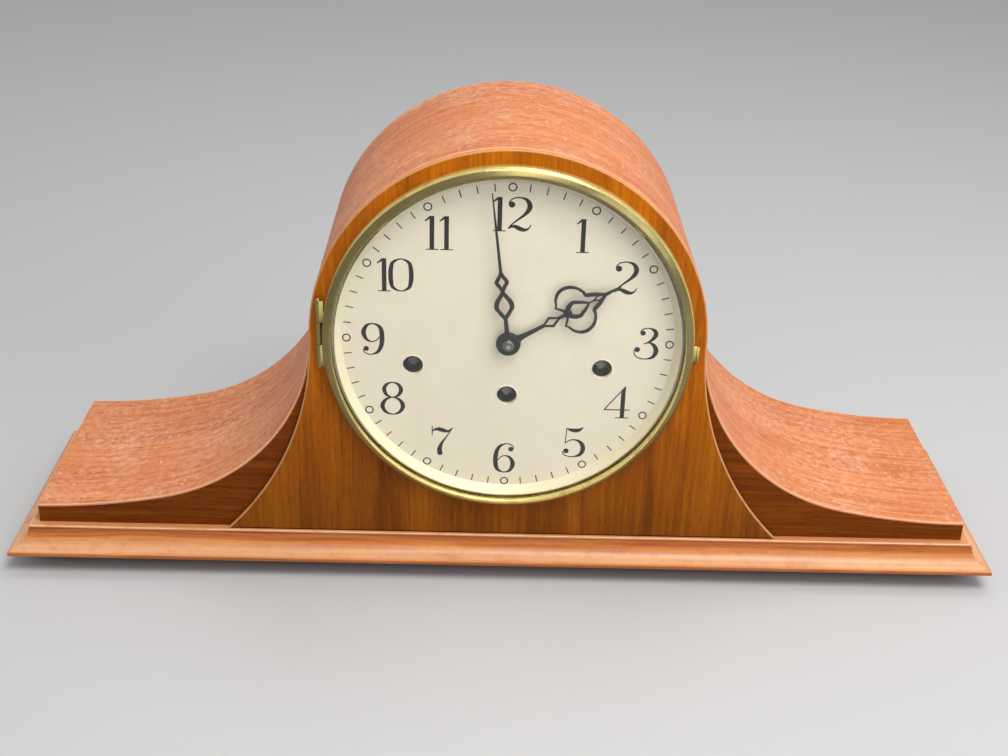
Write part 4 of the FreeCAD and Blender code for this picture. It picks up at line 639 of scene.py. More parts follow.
caseSizes = {"shoulderR": 103.3, "neckAngle": 1.0, "wingEnd": 34.4, "skin": 5.0, "arris": 0.7, "lap": 0.9,
             "openingR": 89.0, "play": 0.7, "flareR": 163.0, "panel": 3.0, "panelArris": 1.0, "board": 8.0}
backSizes = {"board": 6.0, "door": 5.0, "opening": 78.0, "sill": 37.8, "play": 0.6, "slotWidth": 5.0,
             "slotLength": 44.0, "slotPitch": 15.0, "slots": 7, "slotDrop": 38.0, "slotCorner": 2.4}
baseSizes = {"foot": 2.0, "pad": 16.0, "padX": (-237.7, 221.7), "padY": (-43.85, 33.65)}


def topLine(inset):
    # the case's top line from the right wing's tip to the left, moved in along its normals by inset
    c = caseSizes
    neck, reach = math.radians(c["neckAngle"]), archR + c["shoulderR"]
    shoulder = (reach * math.cos(neck), centreZ + reach * math.sin(neck))
    drop = shoulder[1] - c["wingEnd"] - c["shoulderR"]
    lean = 2 * math.degrees(math.atan(drop / (wingX - shoulder[0])))
    tailR = c["shoulderR"] + (wingX - shoulder[0]) / math.sin(math.radians(lean))
    tail = arcPoints(wingX, c["wingEnd"] + tailR, tailR + inset, -90, -90 - lean, 90)
    hollow = arcPoints(*shoulder, c["shoulderR"] + inset, -90 - lean, c["neckAngle"] - 180, 90)
    arch = arcPoints(0, centreZ, archR - inset, c["neckAngle"], 180 - c["neckAngle"], 220)
    right = np.concatenate([tail[:-1], hollow[:-1]])
    return np.concatenate([right, arch, (right * (-1, 1))[::-1]])


def makeTopSkin():
    # the bent sheet: its section (inset, depth) carried along the top line, with rounded arrises
    c = caseSizes
    lap, skin, arris = c["lap"], c["skin"], c["arris"]
    face, inner, edge, rebate = frontY + 0.1, frontY + c["board"], backY - 0.1, backY - backSizes["board"]
    section = roundedLoop([(0, face), (0, frontY + 1.3), (0, 0), (0, backY - 1.3), (0, edge), (lap, edge),
                           (lap, rebate), (skin, rebate), (skin, inner), (lap, inner), (lap, face)],
                          [arris, 0.1, 0.1, 0.1, arris, 0.1, 0.1, 0.2, 0.2, 0.1, 0.1], 5)
    lines = np.stack([topLine(inset) for inset in section[:, 0]])
    x, y, z = lines[..., 0], section[:, 1:], lines[..., 1]
    count = x.shape[1]
    # pale front and back arrises: partly rubbed wear, partly a painted highlight along the edge
    wornAndHighlit = np.clip((np.abs(y - (frontY + backY) / 2) - (backY - frontY) / 2 + 1.1) / 0.6, 0, 1)
    wornAndHighlit *= np.clip(1.3 - section[:, :1] / 0.6, 0, 1)
    first = [k * count for k in range(len(section))]
    faces = gridFaces(len(section), count, closeRows=True) + [first[::-1], [k + count - 1 for k in first]]
    uv = rowsOf(lengthAlong(lines[0]), y)
    piece = finishMesh("topSkin", rowsOf(x, y, z), faces, uv, np.repeat(wornAndHighlit, count))
    dress(piece, "topVeneer", "case", ["top_skin"])


def caseOutline(inset):
    # the top line, closed along the foot and measured from the hands' centre
    top = topLine(inset)
    top[:, 0] = np.clip(top[:, 0], -wingX, wingX)
    return np.concatenate([top, [(-wingX, baseTop), (wingX, baseTop)]]) - (0, centreZ)


def makeBoards():
    c = caseSizes
    loops = [caseOutline(c["lap"]), circleLoop(c["openingR"] + c["play"], 144)]
    front = plate("frontBoard", loops, c["board"], 0.25, facing(-c["board"]))
    dress(front, "wingVeneer", "case", ["front_board"])
    drop = math.degrees(math.asin((centreZ - baseTop) / c["flareR"]))
    flare = arcPoints(archR + c["flareR"], 0, c["flareR"], 180, 180 + drop, 90)
    arch = arcPoints(0, 0, archR, 180, 0, 180)
    outline = np.concatenate([arch[:-1], flare, (flare * (-1, 1))[::-1][:-1]])
    loops = [outline, circleLoop(c["openingR"], 180)]
    panel = plate("centrePanel", loops, c["panel"], c["panelArris"], facing())
    dress(panel, "panelVeneer", "case", ["centre_panel"])


def tombstone(half, sill):
    # a round-topped doorway about the hands' centre
    arch = arcPoints(0, 0, half, 0, 180, 120)
    return np.concatenate([arch, [(-half, sill - centreZ), (half, sill - centreZ)]])


def makeBack():
    b = backSizes
    loops = [caseOutline(caseSizes["lap"]), tombstone(b["opening"], b["sill"])]
    board = plate("backBoard", loops, b["board"], 0.35, facingBack(backY - b["board"]))
    dress(board, "backWood", "case", ["back_board"])
    loops = [tombstone(b["opening"] - b["play"], b["sill"] + b["play"])]
    low, half = -b["slotDrop"] - b["slotLength"] / 2, b["slotWidth"] / 2
    for index in range(b["slots"]):
        x = (index - (b["slots"] - 1) / 2) * b["slotPitch"]
        loops.append(rectangle(x - half, low, x + half, low + b["slotLength"], b["slotCorner"], 8))
    door = plate("backDoor", loops, b["door"], 0.6, facingBack(backY - b["door"]))
    dress(door, "backWood", "rear_door", ["back_door"])


def makeBase():
    b = baseSizes
    foot, size = b["foot"], b["pad"]
    board = plate("baseBoard", [rectangle(-wingX, frontY, wingX, backY, 0.4, 3)], baseTop - foot, 0.4,
                  lying(foot))
    dress(board, "hiddenWood", "case", ["base_board"])
    pads = [plate("pad", [rectangle(x, y, x + size, y + size, 2.5, 6)], foot, 0.35, lying(0.0))
            for x in b["padX"] for y in b["padY"]]
    dress(merged("feltPads", pads), "felt", "case", ["foot_pads"])


makeTopSkin()
makeBoards()
makeBack()
makeBase()
print("stage: case")


mouldingSizes = {"ledge": 4.7, "step": 1.5, "reach": 14.8, "tip": 12.5, "lip": 2.0, "heel": (1.8, 4.4),
                 "foot": 2.0, "cove": 0.2, "hollow": 0.12}


def bowed(start, end, t, depth):
    # points between two ends, bowed to the right of the run by a share of its length
    run = end - start
    return start + t[:, None] * run + 4 * depth * (t * (1 - t))[:, None] * np.array([run[1], -run[0]])


def mouldingSection():
    # outward and up: ledge, step, cove, blunt tip, hollow underside and foot
    m = mouldingSizes
    edge, foot, tip, heel = m["ledge"], m["foot"], np.array([m["reach"], m["tip"]]), np.array(m["heel"])
    low, step = tip - (0, m["lip"]), baseTop - m["step"]
    t = np.linspace(0, 1, 26)[1:-1]
    cove = bowed(np.array([edge + 0.35, step]), tip, t, m["cove"])
    under = bowed(low, heel, t, m["hollow"])
    ledge = roundedLoop([(0, foot), (0, baseTop), (edge - 1.3, baseTop), (edge, baseTop), (edge, step)],
                        [0.01, 0.01, 0.05, 0.7, 0.05], 5)[5:]
    blunt = roundedLoop([cove[-1], tip, low, under[0]], [0, 0.8, 0.7, 0], 5)[5:-5]
    section = np.concatenate([ledge, cove, blunt, under, [heel, (heel[0], foot), (0, foot)]])
    # rubbed bright on the ledge's edge; a painted highlight in the middle and lower cove; painted shade at
    # the top of the cove, under the step, below the tip and on the underside
    coveShade = np.interp(t, (0, 0.2, 0.45, 0.85, 1), (-0.45, -0.1, 0.35, 0.65, 0.25))
    shade = np.concatenate([np.full(5, 0.3), np.full(5, 0.35), [0.7, 0.95, 1.0, 0.8, 0.2], np.full(5, -0.75),
                            coveShade, np.linspace(0.0, -0.9, len(blunt)), np.full(len(under) + 3, -1.0)])
    return section, shade


def makeMoulding(name, node, run, place):
    # the section carried along a straight run whose ends are cut for the mitres
    section, shade = mouldingSection()
    reach, height = section.T
    share = np.linspace(0, 1, 41)[:, None]
    start, end = run(reach)
    along = start * (1 - share) + end * share
    uv, wearAndPaintedLight = rowsOf(along, lengthAlong(section)), np.tile(shade, len(share))
    faces = gridFaces(len(share), len(section), closeColumns=True) + endFaces(len(share), len(section))
    flat = [len(faces) - 2, len(faces) - 1]
    piece = fixNormals(finishMesh(name, place(along, reach, height), faces, uv, wearAndPaintedLight, flat))
    dress(piece, "mouldingWood", "case", [node])


makeMoulding("mouldingFront", "moulding_front", lambda reach: (-(wingX + reach), wingX + reach),
             lambda along, out, up: rowsOf(along, frontY - out, up))
for side, word in ((-1, "Left"), (1, "Right")):
    makeMoulding("moulding" + word, "moulding_" + word.lower(), lambda reach: (frontY - reach, backY),
                 lambda along, out, up: rowsOf(side * (wingX + out), along, up))
print("stage: moulding")


bezelSizes = {"outer": 94.5, "back": 3.3, "front": 10.6, "shoulder": 5.7, "skirt": 0.6, "lip": 89.4,
              "lipBack": 8.4, "wall": 90.8, "glassR": 90.5, "glassBack": 6.8, "glassFront": 8.4,
              "margin": 89.2, "dome": 4.2}


def makeBezel():
    b = bezelSizes
    out, lip, wall, skirt, front = (b[key] for key in ("outer", "lip", "wall", "skirt", "front"))
    shoulder, lipBack = b["shoulder"], b["lipBack"]
    ring = roundedLoop([(out, skirt), (out - 0.8, skirt), (out - 0.8, b["back"]), (wall, b["back"]),
                        (wall, lipBack), (lip, lipBack), (lip + 0.1, front - 0.5), (lip + 0.5, front),
                        (lip + 1.3, front - 0.1), (out - 1.2, shoulder + 3.1), (out - 0.3, shoulder + 2.0),
                        (out, shoulder + 0.6)],
                       [0.3, 0.2, 0.1, 0.2, 0.1, 0.1, 0.3, 0.3, 0.5, 0.9, 0.6, 0.5], 6)
    # painted highlights on the sides that face up: the outer side over the top, the inner lip and the wall
    # along the foot
    angle = np.linspace(0, 2 * np.pi, 256, endpoint=False)
    over = np.clip(0.35 + 0.9 * np.cos(angle - 0.2), 0.12, 1)
    under = np.clip(0.1 - 0.9 * np.cos(angle + 0.2), 0, 1)
    radius, level = ring[:, :1], ring[:, 1:]
    outer = np.clip((radius - out + 0.3 + over) / 0.3, 0, 1) * (level > skirt + 0.4) * (0.3 + 0.7 * over)
    inner = np.clip((lip + 0.3 + 1.6 * under - radius) / 0.3, 0, 1) * (0.35 + 0.65 * under)
    groove = (np.abs(radius - wall) < 0.05) * (level < lipBack) * under
    bright = np.maximum(np.maximum(outer, inner), groove)
    piece = lathe("bezelRing", ring, turns=256, wearAndPaintedLight=bright)
    dress(piece, "bezelBrass", "glazed_bezel", ["bezel_ring"])
    t = np.linspace(0, 1, 28)
    dome = rowsOf(b["margin"] * (1 - t), b["glassFront"] + b["dome"] * (1 - (1 - t) ** 2))
    dome[-1, 0] = 0.02
    hollow = (dome - (0, b["glassFront"] - b["glassBack"]))[::-1]
    edge = [(b["glassR"], b["glassBack"]), (b["glassR"], b["glassFront"])]
    crystal = lathe("crystalDome", np.concatenate([edge, dome, hollow]), turns=128)
    dress(crystal, "glass", "glazed_bezel", ["crystal"])


hingeSizes = {"x": -95.8, "forward": 5.6, "length": 36.0, "lift": 4.0, "radius": 1.25, "gap": 0.2, "pin": 0.5}
hingeOrigin = (hingeSizes["x"], frontY - hingeSizes["forward"], centreZ + hingeSizes["lift"])
tabSizes = {"start": 93.6, "end": 97.3, "height": 8.6, "drop": 4.0, "thick": 0.9, "curl": 1.3}


def knuckle(name, low, high, web):
    # a length of barrel with rounded rims, and the web that ties it to its leaf
    h = hingeSizes
    x, y, z = hingeOrigin
    barrel = turned(name + "Barrel", sleeve(h["pin"] + 0.05, h["radius"], low, high, 0.25), hingeOrigin, "z",
                    48)
    leaf = plate(name + "Web", [rectangle(*web, 0.1, 2)], high - low, 0.12, lying(z + low, x, y), 2)
    return [barrel, leaf]


def makeHinge():
    h = hingeSizes
    half, low, high = h["length"] / 2, -h["length"] / 6, h["length"] / 6
    fixed = merged("bezelHingeFixed", knuckle("middle", low, high, (-1.1, 0, 1.0, 2.5)))
    dress(fixed, "bezelBrass", "case", ["bezel_hinge_fixed"])
    web = (0, -1.1, 2.6, 0)
    moving = knuckle("low", -half, low - h["gap"], web) + knuckle("high", high + h["gap"], half, web)
    moving = merged("bezelHingeMoving", moving)
    dress(moving, "bezelBrass", "glazed_bezel", ["bezel_hinge_moving"])
    # the pin runs between two domed ends
    t = np.linspace(math.pi / 2, 0, 7)
    dome = rowsOf((h["radius"] - 0.1) * np.cos(t), half + 0.05 + 1.3 * np.sin(t))
    upper = np.concatenate([[(0, half + 1.35)], dome, [(h["pin"], half + 0.05)]])
    piece = turned("bezelHingePin", np.concatenate([upper, (upper * (1, -1))[::-1]]), hingeOrigin, "z", 32)
    dress(piece, "hingeBrass", "case", ["bezel_hinge_pin"])


def makeTab():
    # a thin tongue beside the bezel whose end curls forward
    t = tabSizes
    bend, level = t["end"] - 1.6, bezelSizes["back"] + 0.5
    turn = np.linspace(0, math.radians(75), 9)
    curl = rowsOf(bend + t["curl"] * np.sin(turn), level + t["curl"] * (1 - np.cos(turn)))
    line = np.concatenate([[(t["start"], level), (bend, level)], curl[1:]])
    path = rowsOf(line[:, 0], frontY - line[:, 1], centreZ - t["drop"])
    half, thin = t["height"] / 2, t["thick"] / 2
    section = rectangle(-thin, -half, thin, half, 0.4, 4)
    # painted highlight along the tongue's top edge, carried in the wear attribute
    bright = np.tile(np.clip((section[:, 1] - half + 1.4) / 0.8, 0, 1), len(path))
    piece = swept("bezelTab", path, section, (0, 0, 1), bright)
    dress(piece, "bezelBrass", "glazed_bezel", ["bezel_tab"])


dialSizes = {"faceR": 84.8, "face": 1.2, "thick": 1.0, "rimR": 87.7, "rimFront": 6.3, "holeR": 5.25,
             "centreHole": 4.4, "holes": ((-48.6, -14.7), (0, -30.9), (48.6, -14.7))}


def makeDial():
    d = dialSizes
    faceR, face, rimR, front, hole = (d[key] for key in ("faceR", "face", "rimR", "rimFront", "holeR"))
    loops = [circleLoop(faceR, 192), circleLoop(d["centreHole"], 48)]
    loops += [circleLoop(hole, 48, x, z) for x, z in d["holes"]]
    pan = plate("dialFace", loops, d["thick"], 0.08, facing(face - d["thick"]), 2)
    dress(pan, "dialSilver", "case", ["dial_pan"])
    rim = roundedLoop([(faceR - 0.15, face - 0.9), (faceR + 0.6, face - 1.0), (rimR + 0.1, 3.6),
                       (rimR + 2.0, 3.7), (rimR + 2.0, 4.25), (rimR + 0.6, 4.45), (rimR + 0.5, front - 0.2),
                       (rimR + 0.3, front), (rimR - 0.1, front - 0.25), (faceR + 0.4, face + 0.4),
                       (faceR - 0.1, face - 0.02)],
                      [0.1, 0.4, 0.6, 0.2, 0.2, 0.2, 0.1, 0.1, 0.1, 0.5, 0.05], 4)
    dress(lathe("dialRim", rim), "sightCream", "case", ())
    eyelet = roundedLoop([(hole - 0.08, -1.0), (hole + 0.5, face + 0.02), (hole + 0.45, face + 0.2),
                          (hole + 0.15, face + 0.3), (hole - 0.08, face + 0.15)],
                         [0.1, 0.1, 0.15, 0.15, 0.1], 4)
    for index, (x, z) in enumerate(d["holes"]):
        piece = lathe(f"windingEyelet{index + 1}", eyelet, (x, centreZ + z), 64)
        dress(piece, "dialSilver", "case", ())


# each numeral's strokes as rows of (across, up, half width), in hundredths of its height;
# a loop gives its right half from top to foot
numeralStrokes = {
    "0": [("loop", [(0, 98.2, 1.7), (17, 88, 4.5), (21.5, 70, 6.2), (22.5, 50, 6.6), (21.5, 30, 6.2),
                    (17, 12, 4.5), (0, 1.8, 1.7)])],
    "1": [("line", [(2, 1, 6.4), (2, 99, 6.4)]), ("line", [(-13, 1.4, 1.5), (17, 1.4, 1.5)]),
          ("curve", [(-15, 84, 1.2), (-9, 89, 2.6), (-1, 97, 3.4)])],
    "2": [("dot", (-17, 78, 8.8)),
          ("curve", [(-23, 77, 1.6), (-21, 88, 1.8), (-12, 96.5, 1.9), (1, 98, 2.0), (14, 92, 4.6),
                     (20.5, 77, 7.0), (18, 62, 6.4), (8, 47, 4.0), (-8, 30, 2.4), (-19, 17, 1.8),
                     (-24, 8, 1.6)]),
          ("curve", [(-24, 8, 1.6), (-17, 14, 3.4), (-10, 15, 4.8), (-3, 11, 6.2), (5, 6.5, 6.0),
                     (13, 5.5, 4.2), (20, 11, 2.2), (24, 21, 1.3)])],
    "3": [("dot", (-8, 83, 7.6)),
          ("curve", [(-13, 84, 1.5), (-11, 92, 1.7), (-4, 97.4, 1.8), (5, 98, 2.0), (15, 91, 5.2),
                     (18, 78, 6.4), (11, 62, 4.4), (0, 52, 1.9), (-5, 49, 1.6)]),
          ("curve", [(-5, 49.5, 1.6), (6, 53, 2.4), (16, 44, 5.4), (20.5, 27, 7.0), (15, 9, 5.0), (2, 2, 1.9),
                     (-13, 4.4, 1.8), (-22, 15, 1.7), (-24, 30, 1.5)]),
          ("dot", (-17.5, 31, 8.0))],
    "4": [("line", [(11, 1, 6.4), (11, 86, 6.4)]), ("line", [(11.2, 85.8, 6.2), (15.4, 104, 1.2)]),
          ("line", [(-4, 1.4, 1.5), (25, 1.4, 1.5)]), ("line", [(15, 103, 1.8), (-28, 29, 1.8)]),
          ("line", [(-29, 27.5, 1.8), (27, 27.5, 1.8)])],
    "5": [("dot", (-15.5, 21, 8.2)),
          ("curve", [(-23, 20, 1.5), (-21, 10, 1.7), (-12, 3.2, 1.8), (1, 2, 2.0), (15, 10, 5.4),
                     (20.5, 30, 7.0), (15, 50, 5.2), (2, 59, 2.2), (-10, 56, 1.8), (-18, 47, 1.5)]),
          ("line", [(-18, 46, 1.5), (-16, 96, 1.5)]),
          ("curve", [(-16, 97, 1.2), (-8, 92, 4.6), (3, 90, 6.4), (12, 93, 4.8), (19, 101, 1.2)])],
    "6": [("dot", (14.5, 80, 7.8)),
          ("curve", [(21, 82, 1.5), (19, 91, 1.7), (10, 97.4, 1.8), (1, 97.6, 2.0), (-11, 90, 4.4),
                     (-18.5, 72, 6.2), (-21, 46, 7.0), (-19, 20, 6.2), (-12, 7, 4.0), (0, 1.8, 1.9),
                     (13, 8, 4.4), (20, 29, 6.8), (14, 50, 4.4), (2, 58, 1.9), (-9, 53, 1.7),
                     (-15, 42, 1.5)])],
    "7": [("line", [(-24.5, 98, 1.5), (-24.5, 67, 1.5)]),
          ("curve", [(-24, 81, 1.5), (-17, 86.5, 3.8), (-7, 87.5, 6.4), (4, 83.5, 6.2), (13, 81.5, 4.0),
                     (20, 86, 2.2), (26, 94, 1.3)]),
          ("curve", [(25, 92, 1.4), (17, 75, 1.8), (7, 56, 2.6), (-2, 38, 4.6), (-6, 21, 7.0), (-5, 8, 7.8)]),
          ("dot", (-5, 8, 7.8))],
    "8": [("loop", [(0, 102, 1.9), (12.5, 96, 4.2), (18.5, 79, 6.0), (12.5, 61, 4.2), (0, 54, 1.9)]),
          ("loop", [(0, 54, 1.9), (15, 46, 4.4), (22.5, 26, 6.4), (15, 6, 4.4), (0, -1.5, 1.9)])]}
# the nine is the six turned about its middle
numeralStrokes["9"] = [(kind, np.array(rows) * (-1, -1, 1) + (0, 100, 0))
                       for kind, rows in numeralStrokes["6"]]
numeralWidths = {"0": 1.28, "1": 1.16, "2": 1.3, "3": 1.42, "4": 1.34, "5": 1.38, "6": 1.26, "7": 1.19,
                 "8": 1.32, "9": 1.28}
numeralPlaces = {1: [(34.9, 58.0)], 2: [(57.9, 36.1)], 3: [(70.4, 0.3)], 4: [(57.9, -34.1)],
                 5: [(36.1, -58.1)], 6: [(-0.2, -68.4)], 7: [(-33.3, -58.6)], 8: [(-59.1, -34.3)],
                 9: [(-69.0, -0.5)], 10: [(-63.2, 35.0), (-54.4, 35.0)], 11: [(-39.5, 57.8), (-32.3, 57.8)],
                 12: [(-6.4, 68.4), (3.8, 68.4)]}
markSizes = {"height": 17.9, "trackR": 82.3, "circle": 1.9, "line": 0.34, "tick": 4.0, "ink": 0.05}


def digitPaths(digit, x, y, height):
    # strokes of one digit, scaled to its height and centred on (x, y)
    scale, wide = height / 100, numeralWidths[digit]
    for kind, rows in numeralStrokes[digit]:
        if kind == "dot":
            yield disc(x + rows[0] * scale * wide, y + (rows[1] - 50) * scale, rows[2] * scale)
            continue
        rows = np.asarray(rows, float)
        if kind == "curve":
            rows = smoothPath(rows, 6)
        elif kind == "loop":
            rows = np.concatenate([rows, (rows * (-1, 1, 1))[-2:0:-1]])
            rows = smoothPath(np.concatenate([rows[-1:], rows, rows[:2]]), 6)[6:-6]
        else:
            rows = np.linspace(rows[0], rows[1], 3)
        yield (rows - (0, 50, 0)) * (scale * wide, scale, scale) + (x, y, 0)


def makeMarks():
    m = markSizes
    strokes = []
    for hour in range(1, 13):
        for digit, (x, y) in zip(str(hour), numeralPlaces[hour]):
            strokes += digitPaths(digit, x, y, m["height"])
    for minute in range(60):
        turn = math.radians(6 * minute)
        out = np.array([math.sin(turn), math.cos(turn)])
        if minute % 5 == 0:
            strokes.append(ringPath(*(out * m["trackR"]), m["circle"], m["line"]))
        else:
            ends = [out * (m["trackR"] - m["tick"] / 2), out * (m["trackR"] + m["tick"] / 2)]
            strokes.append(np.array([[*end, 0.3] for end in ends]))
    piece = flatWork("dialMarks", strokes, m["ink"], 0.015, facing(depth=dialSizes["face"] - 0.012))
    dress(piece, "ink", "case", ())


makeBezel()
makeHinge()
makeTab()
makeDial()
makeMarks()
print("stage: bezel and dial")


doorHingeSizes = {"x": -77.7, "y": 65.3, "leaf": 11.0, "thick": 0.9, "length": 24.0, "gap": 0.2,
                  "radius": 1.6, "pin": 0.8, "head": 1.1, "heights": (0.2, 0.8)}
knobSizes = {"x": 62.0, "drop": 24.0, "reach": 9.0, "radius": 5.0, "neck": 2.4}


def screwHead(name, x, z, y, radius):
    # a flat head that stands 0.25 mm proud of the face it sits on, to the back
    ring = roundedLoop([(0, -0.6), (radius, -0.6), (radius, 0.12), (radius * 0.8, 0.25), (0, 0.25)],
                       [0.01, 0.1, 0.1, 0.1, 0.01], 3)
    return turned(name, ring, (x, y, z), "y", 24)


def makeDoorHinges():
    h = doorHingeSizes
    length, gap, bore, head, x = h["length"], h["gap"], h["pin"], h["head"], h["x"]
    low, high, tall = backSizes["sill"], centreZ, (length - gap) / 2
    barrel = sleeve(bore + 0.05, h["radius"], 0, tall, 0.3)
    pin = [(0, -0.4), (head, -0.4), (head, -0.05), (bore, -0.05), (bore, length + 0.05),
           (head, length + 0.05), (head, length + 0.4), (0, length + 0.4)]
    fixed, moving, pins = [], [], []
    for share in h["heights"]:
        base = low + share * (high - low) - length / 2
        for group, side, start in ((fixed, -1, base), (moving, 1, base + (length + gap) / 2)):
            near, far = sorted((-x - side * 0.2, -x - side * h["leaf"]))
            leaf = rectangle(near, start - centreZ, far, start + tall - centreZ, 1.0)
            group.append(plate("leaf", [leaf], h["thick"], 0.2, facingBack(backY), 2))
            group.append(turned("barrel", barrel, (x, h["y"], start), "z", 40))
            for up in (0.25, 0.75):
                place = (x + side * h["leaf"] * 0.62, start + up * tall, backY + h["thick"])
                group.append(screwHead("hingeScrew", *place, 1.3))
        pins.append(turned("backPin", pin, (x, h["y"], base), "z", 24))
    dress(merged("backHingeFixed", fixed), "hingeBrass", "case", ["back_hinge_fixed"])
    dress(merged("backHingeMoving", moving), "hingeBrass", "rear_door", ["back_hinge_moving"])
    dress(merged("backHingePins", pins), "hingeBrass", "case", ["back_hinge_pins"])


def makeKnob():
    # a turned brass knob: foot, waist and a rounded head
    k = knobSizes
    r, n, reach = k["radius"], k["neck"], k["reach"]
    profile = roundedLoop([(0, 0), (r * 0.8, 0), (r * 0.8, 0.9), (n, 1.8), (n, 4.2), (r, 5.2), (r, 7.4),
                           (r * 0.72, reach - 0.2), (0, reach)],
                          [0.01, 0.2, 0.5, 0.9, 1.0, 0.9, 1.2, 1.2, 0.01], 7)
    piece = turned("doorKnob", profile, (k["x"], backY, centreZ - k["drop"]), "y")
    dress(piece, "hingeBrass", "rear_door", ["door_knob"])


makeDoorHinges()
makeKnob()
print("stage: back fittings")


handSizes = {"thick": 0.6, "bevel": 0.22, "nutR": 3.1, "nutLevel": 6.1, "nutTop": 8.1}
# each hand's boss as radius and half width, then its bars as rows of (across, along, half width):
# a curve stands once, a pair is also mirrored, a sharp pair is not smoothed, and a dot is round
hands = {
    "minute": {"angle": 353.0, "level": 5.5, "boss": (4.05, 1.95), "bars": [
        ("curve", [(0, 5.4, 1.5), (0, 9.0, 1.15), (0, 14.8, 1.0)]),
        ("pair", [(0, 14.6, 0.9), (1.3, 16.4, 1.05), (2.4, 18.0, 1.0), (3.5, 19.4, 0.8)]),
        ("pair", [(2.5, 18.6, 0.7), (3.5, 19.8, 1.1), (3.9, 21.6, 1.2), (3.3, 23.8, 1.2), (1.9, 26.0, 1.1),
                  (0.3, 28.4, 1.0)]),
        ("curve", [(0, 27.8, 1.1), (0, 30.2, 1.0)]),
        ("pair", [(0.2, 29.6, 0.9), (0.9, 31.4, 0.9), (2.4, 33.8, 1.0), (2.4, 35.0, 1.0), (0.9, 37.4, 0.9),
                  (0.1, 39.4, 0.8)]),
        ("curve", [(0, 38.6, 0.8), (0, 60, 0.62), (0, 81, 0.28)])]},
    "hour": {"angle": 59.4, "level": 4.0, "boss": (4.7, 1.6), "bars": [
        ("curve", [(0, 5.0, 2.6), (0, 7.4, 1.6), (0, 11, 1.25), (0, 20.8, 0.95)]),
        ("sharp", [(0.2, 20.6, 0.55), (2.5, 24.7, 0.75), (0.2, 29.0, 0.55)]),
        ("curve", [(0, 28.4, 0.9), (0, 34.0, 1.0)]),
        ("dot", (0, 34.2, 2.3)),
        ("pair", [(0, 33.6, 0.7), (2.6, 32.7, 0.6), (4.6, 31.0, 0.55), (5.7, 30.0, 0.35), (6.4, 31.0, 0.5),
                  (9.6, 32.4, 0.7), (12.2, 35.2, 0.85), (13.0, 38.7, 0.9), (11.9, 42.3, 0.85),
                  (9.4, 45.0, 0.75), (6.6, 46.4, 0.75), (4.6, 46.8, 0.95), (3.6, 48.9, 1.1),
                  (2.4, 51.6, 1.05), (1.1, 53.9, 0.8), (0, 56.2, 0.6)]),
        ("pair", [(0, 33.4, 1.1), (1.8, 34.9, 1.25), (3.5, 37.2, 1.15), (4.0, 39.6, 1.0), (3.0, 41.4, 0.9),
                  (2.3, 43.0, 0.85), (0, 46.4, 0.5)]),
        ("curve", [(0, 45.4, 0.4), (0, 49.6, 0.4)]),
        ("sharp", [(0.15, 49.2, 0.4), (1.3, 51.7, 0.45), (0.15, 55.2, 0.4)]),
        ("curve", [(0, 54.8, 1.0), (0, 57.2, 0.85), (0, 61.0, 0.6), (0, 64.5, 0.3)])]}}


def makeHand(word, hand):
    strokes = [ringPath(0, 0, *hand["boss"], 64)]
    for kind, rows in hand["bars"]:
        if kind == "dot":
            strokes.append(disc(*rows))
            continue
        bar = np.array(rows, float) if kind == "sharp" else smoothPath(rows)
        strokes += [bar] if kind == "curve" else [bar, bar * (-1, 1, 1)]
    place = facing(hand["level"], hand["angle"])
    piece = flatWork(word + "Hand", strokes, handSizes["thick"], handSizes["bevel"], place)
    dress(piece, "handBlack", word + "_work", [word + "_hand"])


for word, hand in hands.items():
    makeHand(word, hand)
nutR, nutLevel, nutTop = handSizes["nutR"], handSizes["nutLevel"], handSizes["nutTop"]
corners = [(1.2, nutLevel), (nutR, nutLevel), (nutR, nutLevel + 1.1), (nutR - 0.7, nutTop), (1.2, nutTop)]
nut = roundedLoop(corners, [0.1, 0.3, 0.4, 0.4, 0.2], 5)
dress(lathe("handNut", nut, turns=96), "arborSteel", "minute_work", ["hand_nut"])
print("stage: hands")


chimeSizes = {"rodR": 1.4, "first": 14.15, "pitch": 8.0, "z": 40.0, "longest": 232.0, "step": 0.075,
              "count": 5, "blockX": 92.0, "blockLength": 24.0, "margin": 5.0, "blockHeight": 24.0,
              "pivotX": 34.0, "pivotZ": 80.0, "reach": 42.0, "headLow": 44.0, "headHeight": 12.0,
              "headR": 3.0, "hubR": 3.0, "hubWidth": 5.0, "wire": 0.95, "bend": 5.0, "plateY": 6.65}
bracketSizes = {"half": 3.0, "tall": (19.0, 9.0), "thick": 2.0, "span": 42.08, "rail": 4.0}


def rodY(index):
    return chimeSizes["first"] + index * chimeSizes["pitch"]


